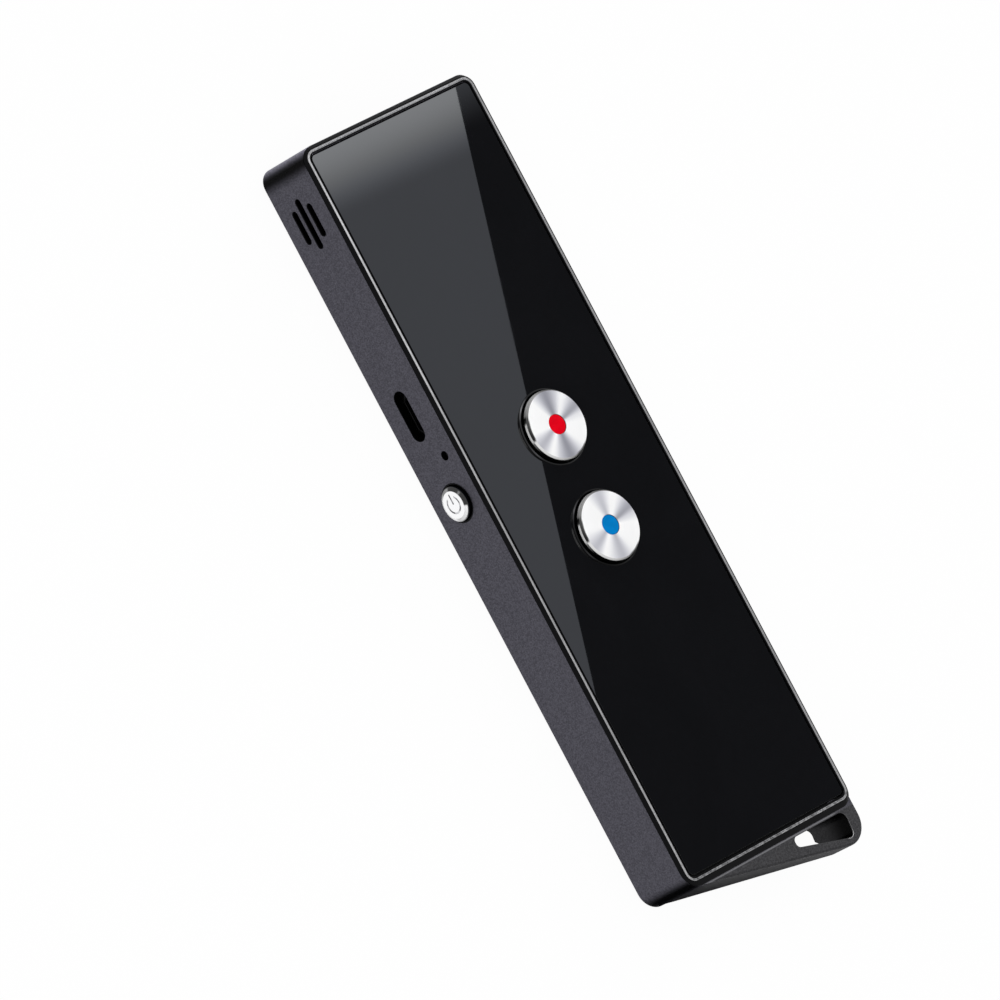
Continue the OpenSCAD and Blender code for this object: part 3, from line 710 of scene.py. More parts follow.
@dataclass(frozen=True)
class BlackGlass(Finish):
    """Polished black panel: clear top, faint handling marks in the gloss."""

    def feeds(self, nodes: Nodes) -> dict[str, object]:
        """Handling marks in the roughness and the colour.

        Args:
            nodes: the material's tree.

        Returns:
            The names of the shader's inputs to values or sockets.
        """
        marks = nodes.group(GroupName.SMUDGE, Vector=nodes.object_point())["Value"]
        return {
            "Base Color": nodes.mix(nodes.ramp(marks, 0.3, 0.8), rgba(self.colour), rgba(self.colour, 1.5)),
            "Roughness": nodes.ramp(marks, 0.35, 0.75, self.roughness, self.roughness + 0.008),
            "IOR": 1.5,
        }


@dataclass(frozen=True)
class GlossBlack(Finish):
    """Glossy black moulding: soft orange peel and a slightly rubbed edge.

    Attributes:
        gloss_level: the shader's specular level; 0.5 is plain plastic.
    """

    gloss_level: float = 0.05

    def feeds(self, nodes: Nodes) -> dict[str, object]:
        """Rubbed edges in the colour, handling marks in the roughness, orange peel in the height.

        Args:
            nodes: the material's tree.

        Returns:
            The names of the shader's inputs to values or sockets.
        """
        point = nodes.object_point()
        marks = nodes.group(GroupName.SMUDGE, Vector=point)["Value"]
        edge = nodes.group(GroupName.EDGE, Width_mm=0.08)["Mask"]
        return {
            "Base Color": nodes.mix(nodes.product(edge, 0.2), rgba(self.colour), rgba(SOFT_BLACK)),
            "Specular IOR Level": self.gloss_level,
            "Roughness": nodes.ramp(marks, 0.3, 0.8, self.roughness, self.roughness + 0.08),
            "Normal": nodes.bump(nodes.noise(point, 2500.0), 0.002, 0.4),
        }


@dataclass(frozen=True)
class BareMetal(Finish):
    """Bare or plated metal: fine scratches along one axis and an uneven tone.

    Attributes:
        stretch: what each coordinate is multiplied by for the scratches.
        scratch: how much they change the roughness.
        mottle: how much the uneven tone takes from the colour.
    """

    metallic: float = 1.0
    stretch: tuple[float, float, float] = (1.0, 1.0, 1.0)
    scratch: float = 0.08
    mottle: float = 0.12

    def feeds(self, nodes: Nodes) -> dict[str, object]:
        """Scratches in the roughness and the height, and a tone that the part's own marks change.

        Args:
            nodes: the material's tree.

        Returns:
            The names of the shader's inputs to values or sockets.
        """
        lines = nodes.noise(nodes.object_point(self.stretch), 4000.0, 4.0, 0.6)
        marks = nodes.group(GroupName.SMUDGE, Vector=nodes.object_point())["Value"]
        uneven = nodes.product(nodes.math("ADD", marks, lines), 0.5)
        tone = nodes.mix(nodes.ramp(uneven, 0.35, 0.65), rgba(self.colour, 1.0 - self.mottle), rgba(self.colour))
        return {
            "Base Color": self.marked(nodes, tone),
            "Metallic": self.metal(nodes),
            "Roughness": nodes.ramp(lines, 0.3, 0.7, self.roughness - self.scratch, self.roughness + self.scratch),
            "Normal": nodes.bump(lines, 0.003, 0.5),
        }

    def marked(self, nodes: Nodes, tone: Socket) -> Socket:
        """The colour with this part's own marks; plain metal has none."""
        return tone

    def metal(self, nodes: Nodes) -> object:
        """How metallic it is: the same all over."""
        return self.metallic


@dataclass(frozen=True)
class EngravedMetal(BareMetal):
    """Bare metal, turned about an axis along X, with a grey filled engraving in its face.

    The polished cut edge carries a painted reflection, dark round one part of the turn and pale elsewhere, and the
    wall is painted dark as a reflection.

    Attributes:
        face_x_mm: x of the face.
        cut_mm: how deep the cut edge reaches.
        axis_yz_mm: where the axis stands.
        face_radius_mm: radius of the flat face.
        mark_radius_mm: how far the mark reaches.
        rim_mm: where the outermost part of the cut edge starts.
        fill_colours: the darkest and palest grey of the filling.
        wall_painted_reflection: colour of the wall, a painted dark reflection.
        edge_painted_reflection: degrees from +Y towards +Z, and the painted reflection on the cut edge: what is
            left of the colour there.
        rim_painted_reflection: the same painted reflection on the outermost part of the cut edge.
    """

    face_x_mm: float = -20.9
    cut_mm: float = 0.35
    axis_yz_mm: tuple[float, float] = (8.4, 6.675)
    face_radius_mm: float = 2.35
    mark_radius_mm: float = 2.2
    rim_mm: Side = (2.8, 2.9)
    fill_colours: tuple[Colour, Colour] = ((0.2, 0.2, 0.21), (0.65, 0.65, 0.67))
    # Painted reflections: the wall's dark colour, and the cut edge's levels by angle.
    wall_painted_reflection: Colour = (0.02, 0.022, 0.027)
    edge_painted_reflection: Stops = (
        (0.0, 0.3), (10.0, 0.01), (50.0, 0.01), (59.0, 0.2), (67.0, 0.01), (107.0, 0.01), (115.0, 0.9),
        (150.0, 0.78), (180.0, 0.68), (195.0, 0.6), (212.0, 1.0), (275.0, 1.0), (305.0, 0.75), (330.0, 0.2),
        (360.0, 0.3))
    rim_painted_reflection: Stops = (
        (0.0, 0.01), (140.0, 0.02), (170.0, 0.25), (190.0, 0.35), (230.0, 1.0), (280.0, 1.0), (330.0, 0.1),
        (360.0, 0.01))

    def zones(self, nodes: Nodes) -> tuple[Socket, ...]:
        """Where a point lies.

        Args:
            nodes: the tree.

        Returns:
            Distance from the axis, x, the turn as a fraction, and the masks of cut edge and wall.
        """
        x, y, z = nodes.split(nodes.point_mm((0.0, *self.axis_yz_mm)))
        turned = nodes.flat(y, z)
        radius = nodes.length(turned)
        turn = nodes.group(GroupName.RINGS, Vector=turned)["Turn"]
        edge = nodes.ramp(radius, self.face_radius_mm - 0.06, self.face_radius_mm + 0.02)
        bottom = self.face_x_mm + self.cut_mm
        wall = nodes.product(edge, nodes.ramp(x, bottom - 0.04, bottom + 0.02))
        return radius, x, turn, edge, wall

    def marked(self, nodes: Nodes, tone: Socket) -> Socket:
        """The colour, grey in the engraving, with painted reflections on the cut edge and a painted dark reflection
        on the wall.

        Args:
            nodes: the tree.
            tone: the metal's colour.

        Returns:
            The colour.
        """
        radius, x, turn, edge, wall = self.zones(nodes)
        near = nodes.ramp(radius, self.mark_radius_mm, self.mark_radius_mm - 0.1)
        deep = nodes.ramp(x, self.face_x_mm + 0.03, self.face_x_mm + 0.09)
        mottled = nodes.ramp(nodes.noise(nodes.point_mm(), 0.8), 0.4, 0.6)
        fill = nodes.mix(mottled, *(rgba(colour) for colour in self.fill_colours))
        face = nodes.mix(nodes.product(near, deep), tone, fill)
        # painted reflection on the cut edge, by angle round the axis
        levels = (nodes.by_angle(turn, stops) for stops in (self.edge_painted_reflection, self.rim_painted_reflection))
        level = nodes.mix(nodes.ramp(radius, *self.rim_mm), *levels)
        cut = nodes.mix(edge, face, nodes.scaled(tone, level))
        # painted dark reflection on the wall
        return nodes.mix(wall, cut, rgba(self.wall_painted_reflection))

    def metal(self, nodes: Nodes) -> object:
        """How metallic it is: the cut edge is matt."""
        *_, edge, wall = self.zones(nodes)
        return nodes.blend(nodes.math("SUBTRACT", edge, wall, clamp=True), self.metallic, 0.15)


@dataclass(frozen=True)
class RingChrome(BareMetal):
    """Black chrome of a turned ring, with glints painted into its colour at some angles.

    Attributes:
        axis_xy_mm: where the axis of turning stands.
        glints: degrees from +X, and the painted glint's level: what is left of the colour there.
    """

    axis_xy_mm: tuple[float, float] = (0.0, 0.0)
    # Painted glints in the ring's colour.
    glints: Stops = (
        (0.0, 0.1), (108.0, 0.1), (120.0, 0.55), (133.0, 1.0), (142.0, 0.5), (152.0, 0.2), (185.0, 0.15),
        (205.0, 0.35), (222.0, 0.1), (360.0, 0.1))

    def marked(self, nodes: Nodes, tone: Socket) -> Socket:
        """The colour times the painted glints' level."""
        rings = nodes.group(GroupName.RINGS, Vector=nodes.object_point(centre_mm=(*self.axis_xy_mm, 0.0)))
        # painted glints by angle
        return nodes.scaled(tone, nodes.by_angle(rings["Turn"], self.glints))


@dataclass(frozen=True)
class CutEdge(BareMetal):
    """Bare cut edge, darker in spots along the bottom end, with a painted highlight along the upper left and
    painted shade along the right.

    Attributes:
        end_y_mm: y above which the edge is bright.
        side_x_mm: how far from the middle the long sides lie.
        fade_mm: over how much each of these levels changes.
        left_y_mm: where the painted highlight on the left side starts and where it is brightest.
        left_painted_light: the painted highlight's level there.
        right_painted_shade: the painted shade's level along the right side.
    """

    end_y_mm: float = -61.6
    side_x_mm: float = 18.4
    fade_mm: float = 0.4
    left_y_mm: Side = (-10.0, 30.0)
    left_painted_light: float = 1.3
    right_painted_shade: float = 0.76

    def marked(self, nodes: Nodes, tone: Socket) -> Socket:
        """The colour, darker in spots along the bottom end, with a painted highlight on the upper left side and
        painted shade on the right side.

        Args:
            nodes: the tree.
            tone: the metal's colour.

        Returns:
            The colour.
        """
        place = nodes.point_mm()
        x, y, _ = nodes.split(place)
        side, fade = self.side_x_mm, self.fade_mm
        spots = nodes.ramp(nodes.noise(place, 1.6, 3.0, 0.7), 0.4, 0.6, 0.35, 0.8)
        end = nodes.blend(nodes.ramp(y, self.end_y_mm, self.end_y_mm - fade), 1.0, spots)
        # painted highlight along the upper left side, painted shade along the right side
        upper = nodes.ramp(y, *self.left_y_mm, 1.0, self.left_painted_light)
        left = nodes.blend(nodes.ramp(x, -side, -side - fade), 1.0, upper)
        right = nodes.ramp(x, side, side + fade, 1.0, self.right_painted_shade)
        return nodes.scaled(tone, nodes.product(end, nodes.product(left, right)))


@dataclass(frozen=True)
class SpunMetal(Finish):
    """Turned metal: fine rings round its own axis, with bright and dull sectors of painted sheen.

    The cut edge and the polished upper part of the wall have painted glints and reflections of their own, and
    the rest of the wall is painted dark as shade. Duller painted sectors are cooler, a painted reflection tint.

    Attributes:
        axis_xy_mm: where the axis of turning stands.
        sectors: degrees from +X, and the painted sheen on the face: what is left of the colour there.
        anisotropic: how much the turning marks stretch a highlight.
        cool: tint of the dullest sector, a painted reflection tint.
        edge_painted_reflection: the painted reflection on the cut edge: what is left of the colour there.
        wall_painted_glints: the same for the painted glints on the upper part of the wall.
        band_mm: lowest height of that upper part.
        brink_mm: distance from the axis at which the face's outermost part starts.
        brink_painted_reflection: the painted reflection on that part: what is left of the colour there.
        wall_roughness: roughness of the wall.
    """

    metallic: float = 1.0
    axis_xy_mm: tuple[float, float] = (0.0, 0.0)
    # Painted light: sheen sectors, a cool reflection tint, and glints and reflections on cut edge, wall and brink.
    sectors: Stops = ((0.0, 1.0), (360.0, 1.0))
    anisotropic: float = 0.6
    cool: Colour = (0.95, 0.96, 1.15)
    edge_painted_reflection: Stops = (
        (0.0, 0.25), (30.0, 0.25), (50.0, 0.45), (76.0, 0.22), (105.0, 0.42), (140.0, 0.26), (152.0, 0.07),
        (186.0, 0.02), (191.0, 0.75), (235.0, 0.65), (272.0, 0.42), (285.0, 0.1), (310.0, 0.1), (335.0, 0.35),
        (360.0, 0.25))
    wall_painted_glints: Stops = (
        (0.0, 0.01), (78.0, 0.01), (90.0, 0.6), (104.0, 1.0), (125.0, 0.85), (142.0, 0.4), (150.0, 0.04),
        (156.0, 0.1), (161.0, 1.0), (186.0, 1.0), (193.0, 0.2), (215.0, 0.01), (360.0, 0.01))
    band_mm: float = 13.38
    brink_mm: float = 5.55
    brink_painted_reflection: Stops = (
        (0.0, 1.0), (148.0, 1.0), (158.0, 0.2), (182.0, 0.1), (190.0, 1.0), (274.0, 1.0), (285.0, 0.4),
        (300.0, 0.3), (312.0, 1.0), (360.0, 1.0))
    wall_roughness: float = 0.45

    def feeds(self, nodes: Nodes) -> dict[str, object]:
        """Turning marks, and the painted sheen, glints and reflections of face, cut edge and wall, told apart by
        the slope.

        Args:
            nodes: the material's tree.

        Returns:
            The names of the shader's inputs to values or sockets.
        """
        centre = (*self.axis_xy_mm, 0.0)
        rings = nodes.group(GroupName.RINGS, Vector=nodes.object_point(centre_mm=centre), Rings_per_mm=9.0)
        x, y, z = nodes.split(nodes.point_mm(centre))
        upright = nodes.split(nodes.add("TexCoord").outputs["Normal"])[2]
        band = nodes.ramp(z, self.band_mm - 0.05, self.band_mm + 0.05)
        # painted glints on the upper wall; the lower wall is painted dark as shade
        glint = nodes.by_angle(rings["Turn"], self.wall_painted_glints)
        side = nodes.mix(band, rgba(SOFT_BLACK), glint)
        face = self.face(nodes, rings, nodes.length(nodes.flat(x, y)))
        cut = nodes.by_angle(rings["Turn"], self.edge_painted_reflection)
        slope = nodes.mix(nodes.ramp(upright, 0.8, 0.97), cut, face)
        wall = nodes.ramp(upright, 0.5, 0.3)
        matt = nodes.product(wall, band, nodes.ramp(glint, 0.02, 0.2))
        rough = nodes.ramp(rings["Height"], 0.25, 0.75, self.roughness - 0.05, self.roughness + 0.05)
        return {
            "Base Color": nodes.mix(wall, slope, side),
            "Metallic": nodes.blend(matt, self.metallic, 0.15),
            "Roughness": nodes.blend(wall, rough, self.wall_roughness),
            "Anisotropic": self.anisotropic,
            "Tangent": nodes.add("Tangent", direction_type="RADIAL", axis="Z").outputs[0],
            "Normal": nodes.bump(rings["Height"], 0.004, 0.5),
        }

    def face(self, nodes: Nodes, rings: Mapping[str, Socket], radius: Socket) -> Socket:
        """The face's colour: painted sheen sectors, fine grooves, and the painted reflection on its outermost part.

        Args:
            nodes: the tree.
            rings: the outputs of the group of turning marks.
            radius: distance from the axis in millimetres.

        Returns:
            The colour.
        """
        # painted sheen sectors
        sector = nodes.by_angle(rings["Turn"], self.sectors, "CARDINAL")
        grooves = nodes.ramp(rings["Height"], 0.3, 0.7, 0.97, 1.0)
        tint = nodes.mix(sector, rgba(self.cool), rgba(WHITE))
        brink = nodes.ramp(radius, self.brink_mm - 0.04, self.brink_mm + 0.04)
        outermost = nodes.mix(brink, rgba(WHITE), nodes.by_angle(rings["Turn"], self.brink_painted_reflection))
        return nodes.scaled(nodes.scaled(nodes.scaled(tint, sector), grooves), outermost)


@dataclass(frozen=True)
class Enamel(Finish):
    """Filled enamel: even colour with a slightly uneven top."""

    def feeds(self, nodes: Nodes) -> dict[str, object]:
        """A slight change of tone and height, and hardly any gloss.

        Args:
            nodes: the material's tree.

        Returns:
            The names of the shader's inputs to values or sockets.
        """
        point = nodes.object_point()
        tone = nodes.ramp(nodes.noise(point, 900.0), 0.35, 0.7)
        return {
            "Base Color": nodes.mix(tone, rgba(self.colour, 0.9), rgba(self.colour)),
            "Specular IOR Level": 0.03,
            "Normal": nodes.bump(nodes.noise(point, 1400.0), 0.004, 0.3),
        }


@dataclass(frozen=True)
class Moulded(Finish):
    """Moulded or coated matter: spark-eroded grain, slight change of tone.

    Attributes:
        grain_per_mm: how fine the grain is.
        depth_mm: how deep it is.
    """

    grain_per_mm: float = 8.0
    depth_mm: float = 0.01

    def feeds(self, nodes: Nodes) -> dict[str, object]:
        """A cloud in the colour, and grain in the roughness and the height.

        Args:
            nodes: the material's tree.

        Returns:
            The names of the shader's inputs to values or sockets.
        """
        grain = nodes.group(GroupName.GRAIN, Vector=nodes.object_point(), Grain_per_mm=self.grain_per_mm)
        cloud = nodes.ramp(grain["Cloud"], 0.3, 0.7)
        return {
            "Base Color": nodes.mix(cloud, rgba(self.colour, 0.86), rgba(self.colour, 1.1)),
            "Roughness": nodes.ramp(grain["Height"], 0.5, 1.1, self.roughness - 0.08, self.roughness + 0.08),
            "Normal": nodes.bump(grain["Height"], self.depth_mm, 0.5),
        }


@dataclass(frozen=True)
class Woven(Finish):
    """Fine woven mesh.

    Attributes:
        threads_per_mm: how fine the weave is.
    """

    threads_per_mm: float = 5.0

    def feeds(self, nodes: Nodes) -> dict[str, object]:
        """Dark gaps between the threads, and their height.

        Args:
            nodes: the material's tree.

        Returns:
            The names of the shader's inputs to values or sockets.
        """
        weave = nodes.group(GroupName.WEAVE, Vector=nodes.object_point(), Threads_per_mm=self.threads_per_mm)
        return {
            "Base Color": nodes.mix(weave["Gap"], rgba(self.colour), rgba(self.colour, 0.15)),
            "Normal": nodes.bump(weave["Height"], 0.05, 0.8),
        }


@dataclass(frozen=True)
class SolderMask(Finish):
    """Circuit board: green mask over copper tracks, with plated round pads.

    Attributes:
        track: colour of the mask over the tracks.
        pad: colour of the pads.
        grid_mm: spacing of the grid that the tracks keep to.
    """

    track: Colour = (0.02, 0.13, 0.06)
    pad: Colour = (0.8, 0.6, 0.3)
    grid_mm: tuple[float, float, float] = (0.5, 0.5, 1.0)

    def feeds(self, nodes: Nodes) -> dict[str, object]:
        """Tracks where a noise on a square grid crosses even levels, and pads in a field of cells.

        Args:
            nodes: the material's tree.

        Returns:
            The names of the shader's inputs to values or sockets.
        """
        point = nodes.point_mm()
        lanes = nodes.noise(nodes.vector("SNAP", point, self.grid_mm).outputs[0], 0.22, 0.0)
        folded = nodes.math("SUBTRACT", nodes.math("FRACT", nodes.product(lanes, 14.0)), 0.5)
        tracks = nodes.ramp(nodes.math("ABSOLUTE", folded), 0.2, 0.24)
        cells = nodes.add("TexVoronoi", {"Vector": point, "Scale": 0.28}).outputs["Distance"]
        pads = nodes.ramp(cells, 0.14, 0.12)
        green = nodes.mix(tracks, rgba(self.track), rgba(self.colour))
        return {
            "Base Color": nodes.mix(pads, green, rgba(self.pad)),
            "Metallic": nodes.product(pads, 0.9),
            "Normal": nodes.bump(tracks, 0.03, 0.4),
        }


@dataclass(frozen=True)
class PouchFoil(Finish):
    """Crinkled foil of the cell."""

    metallic: float = 0.9

    def feeds(self, nodes: Nodes) -> dict[str, object]:
        """Folds in the roughness and the height, with painted shade in the colour where they are low.

        Args:
            nodes: the material's tree.

        Returns:
            The names of the shader's inputs to values or sockets.
        """
        folds = nodes.noise(nodes.object_point(), 240.0, 6.0, 0.6)
        return {
            # painted shade in the folds' hollows
            "Base Color": nodes.mix(folds, rgba(self.colour, 0.8), rgba(self.colour)),
            "Roughness": nodes.ramp(folds, 0.3, 0.7, self.roughness - 0.08, self.roughness + 0.1),
            "Normal": nodes.bump(folds, 0.12, 0.6),
        }


# ---------------------------------------------------------------- shapes


MERGE_M = 2e-6
FLAT_DEGREES = 0.4
SHARP_DEGREES = 30.0
SMOOTH_DEGREES = 35.0


def grid_mesh(name: str, points: np.ndarray, close_u: bool = False, close_v: bool = True) -> bpy.types.Mesh:
    """Makes a mesh from a grid of points.

    The quad at (i, j) joins points (i, j), (i + 1, j), (i + 1, j + 1) and (i, j + 1). Rows that fall
    on one point become a closed pole.

    Args:
        name: the mesh's name.
        points: an array of shape (rows, columns, 3), in metres.
        close_u: whether the last row joins the first.
        close_v: whether the last column joins the first.

    Returns:
        The mesh, with doubles merged and faces turned outwards.
    """
    rows, columns = points.shape[:2]
    i = np.arange(rows if close_u else rows - 1)
    j = np.arange(columns if close_v else columns - 1)
    a, b = np.meshgrid(i, j, indexing="ij")
    c, d = (a + 1) % rows, (b + 1) % columns
    quads = np.stack([a * columns + b, c * columns + b, c * columns + d, a * columns + d], -1).reshape(-1, 4)
    mesh = bpy.data.meshes.new(name)
    mesh.vertices.add(rows * columns)
    mesh.vertices.foreach_set("co", points.astype(np.float32).reshape(-1))
    mesh.loops.add(quads.size)
    mesh.loops.foreach_set("vertex_index", quads.astype(np.int32).reshape(-1))
    mesh.polygons.add(len(quads))
    mesh.polygons.foreach_set("loop_start", np.arange(0, quads.size, 4, dtype=np.int32))
    mesh.update(calc_edges=True)
    shape = bmesh.new()
    shape.from_mesh(mesh)
    bmesh.ops.remove_doubles(shape, verts=shape.verts, dist=1e-7)
    bmesh.ops.recalc_face_normals(shape, faces=shape.faces)
    shape.to_mesh(mesh)
    shape.free()
    return mesh


def fillet(points: Sequence[tuple[float, float]], radius: float | Sequence[float], steps: int = 3) -> np.ndarray:
    """Rounds the corners of an open or closed profile.

    Each corner becomes a quadratic curve that leaves one edge at the radius from the corner, is drawn
    towards the corner, and joins the next edge at the same distance.

    Args:
        points: the profile's corners.
        radius: how far from the corner the curve starts, one for all or one for each corner.
        steps: how many steps each curve has.

    Returns:
        The rounded profile, with its first and last corner kept.
    """
    corners = np.array(points, float)
    radii = np.full(len(corners), radius, float) if np.isscalar(radius) else np.array(radius, float)
    t = np.linspace(0.0, 1.0, steps + 1)[:, None]
    parts = [corners[:1]]
    for k in range(1, len(corners) - 1):
        if radii[k] <= 0.0:
            parts.append(corners[k:k + 1])
            continue
        back, ahead = corners[k - 1] - corners[k], corners[k + 1] - corners[k]
        reach = min(radii[k], 0.49 * np.linalg.norm(back), 0.49 * np.linalg.norm(ahead))
        p0 = corners[k] + back / np.linalg.norm(back) * reach
        p2 = corners[k] + ahead / np.linalg.norm(ahead) * reach
        parts.append((1 - t) ** 2 * p0 + 2 * t * (1 - t) * corners[k] + t ** 2 * p2)
    parts.append(corners[-1:])
    return np.concatenate(parts)


def revolve(name: str, profile: np.ndarray, centre: Sequence[float], close_u: bool = False,
            segments: int = 128) -> bpy.types.Mesh:
    """Turns a profile about a vertical axis.

    A point of radius r and height z goes to (x + r cos t, y + r sin t, z) for t round the circle.

    Args:
        name: the mesh's name.
        profile: radius and height of each point, in millimetres.
        centre: x and y of the axis, in millimetres.
        close_u: whether the profile is a closed loop, as on a ring.
        segments: how many steps go round.

    Returns:
        The mesh, in metres.
    """
    t = np.linspace(0.0, 2.0 * math.pi, segments, endpoint=False)
    r, z = profile[:, :1], profile[:, 1:]
    x = centre[0] + r * np.cos(t)
    y = centre[1] + r * np.sin(t)
    return grid_mesh(name, np.stack([x, y, np.broadcast_to(z, x.shape)], -1) * MM, close_u=close_u)


def sweep_rectangle(name: str, profile: np.ndarray, low: Sequence[float], high: Sequence[float], radius: float,
                    steps: int = 12) -> bpy.types.Mesh:
    """Carries a closed profile round a rectangle with round corners.

    A profile point is an inset from the outline and a height. Each corner's centre stays where it is
    and its radius shrinks by the inset, so the point at angle t is centre + (radius - inset) (cos t, sin t).

    Args:
        name: the mesh's name.
        profile: inset and height of each point, in millimetres.
        low: lowest x and y of the outline, in millimetres.
        high: highest x and y.
        radius: radius of the outline's corners.
        steps: how many steps each corner has.

    Returns:
        The mesh, in metres.
    """
    quarter = np.linspace(0.0, 0.5 * math.pi, steps + 1)
    angle = np.concatenate([quarter + k * 0.5 * math.pi for k in range(4)])
    sides = np.repeat([[1, 1], [-1, 1], [-1, -1], [1, -1]], steps + 1, axis=0)
    middle = (np.array(low) + np.array(high)) / 2
    half = (np.array(high) - np.array(low)) / 2 - radius
    centre = middle + sides * half
    inset, z = profile[:, :1], profile[:, 1:]
    x = centre[:, 0] + (radius - inset) * np.cos(angle)
    y = centre[:, 1] + (radius - inset) * np.sin(angle)
    return grid_mesh(name, np.stack([x, y, np.broadcast_to(z, x.shape)], -1) * MM, close_u=True)


def placed(name: str, mesh: bpy.types.Mesh, material: bpy.types.Material) -> bpy.types.Object:
    """Makes an object of a mesh that is already in place, with one material.

    Args:
        name: the object's name.
        mesh: its mesh.
        material: its material.

    Returns:
        The new object.
    """
    mesh.materials.clear()
    mesh.materials.append(material)
    thing = bpy.data.objects.new(name, mesh)
    bpy.context.scene.collection.objects.link(thing)
    return thing


def piece(name: str, mesh: bpy.types.Mesh, material: bpy.types.Material, body: str,
          replaces: Sequence[str] = ()) -> bpy.types.Object:
    """Makes a mesh into a finished piece of the object.

    Args:
        name: the piece's name.
        mesh: its mesh, in place.
        material: its material.
        body: the CAD body that it rides on.
        replaces: the CAD nodes that it stands for.

    Returns:
        The new object.
    """
    mesh.polygons.foreach_set("use_smooth", np.ones(len(mesh.polygons), bool))
    mesh.set_sharp_from_angle(angle=math.radians(SMOOTH_DEGREES))
    thing = placed(name, mesh, material)
    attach(thing, body)
    if replaces:
        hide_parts(*replaces)
    LOG.info("%s: %d faces on %s", name, len(mesh.polygons), body)
    return thing


def softened(node: str, name: str, material: bpy.types.Material, body: str, width_mm: float,
             weigh: Callable[[np.ndarray, np.ndarray], np.ndarray] | None = None,
             segments: int = 2) -> None:
    """Makes a copy of a CAD node whose sharp edges are rounded.

    The copy's doubles are merged and its flat faces are joined. Each sharp edge gets a bevel, as wide as
    width_mm times the weight that weigh gives to it.

    Args:
        node: the CAD node, which the copy replaces.
        name: the piece's name.
        material: its material.
        body: the CAD body that it rides on.
        width_mm: the widest bevel.
        weigh: takes the edges' end points as two arrays in millimetres and gives a weight for each edge.
        segments: how many steps a bevel has.
    """
    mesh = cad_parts[node].data.copy()
    mesh.name = name
    shape = bmesh.new()
    shape.from_mesh(mesh)
    bmesh.ops.remove_doubles(shape, verts=shape.verts, dist=MERGE_M)
    bmesh.ops.dissolve_limit(shape, angle_limit=math.radians(FLAT_DEGREES), verts=shape.verts,
                             edges=shape.edges)
    limit = math.radians(SHARP_DEGREES)
    sharp = [e.is_manifold and e.calc_face_angle(0.0) > limit for e in shape.edges]
    shape.to_mesh(mesh)
    shape.free()
    weights = np.array(sharp, float)
    if weigh is not None:
        spots = np.empty(len(mesh.vertices) * 3)
        mesh.vertices.foreach_get("co", spots)
        ends = np.empty(len(mesh.edges) * 2, int)
        mesh.edges.foreach_get("vertices", ends)
        spots = spots.reshape(-1, 3) / MM
        ends = ends.reshape(-1, 2)
        weights *= weigh(spots[ends[:, 0]], spots[ends[:, 1]])
    layer = mesh.attributes.new("bevel_weight_edge", "FLOAT", "EDGE")
    layer.data.foreach_set("value", weights.astype(np.float32))
    thing = piece(name, mesh, material, body, (node,))
    bevel = thing.modifiers.new("rounded edges", "BEVEL")
    bevel.limit_method = "WEIGHT"
    bevel.width = width_mm * MM
    bevel.segments = segments
    bevel.use_clamp_overlap = True
    bevel.miter_outer = "MITER_ARC"
    bevel.harden_normals = True


def dress(node: str, material: bpy.types.Material) -> None:
    """Gives a CAD node that stays its material.

    Args:
        node: the CAD node.
        material: its material.
    """
    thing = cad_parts[node]
    if not thing.material_slots:
        thing.data.materials.append(material)
    for place in thing.material_slots:
        place.material = material
    LOG.info("%s: dressed", node)


# ---------------------------------------------------------------- the object


HOUSING = "housing"


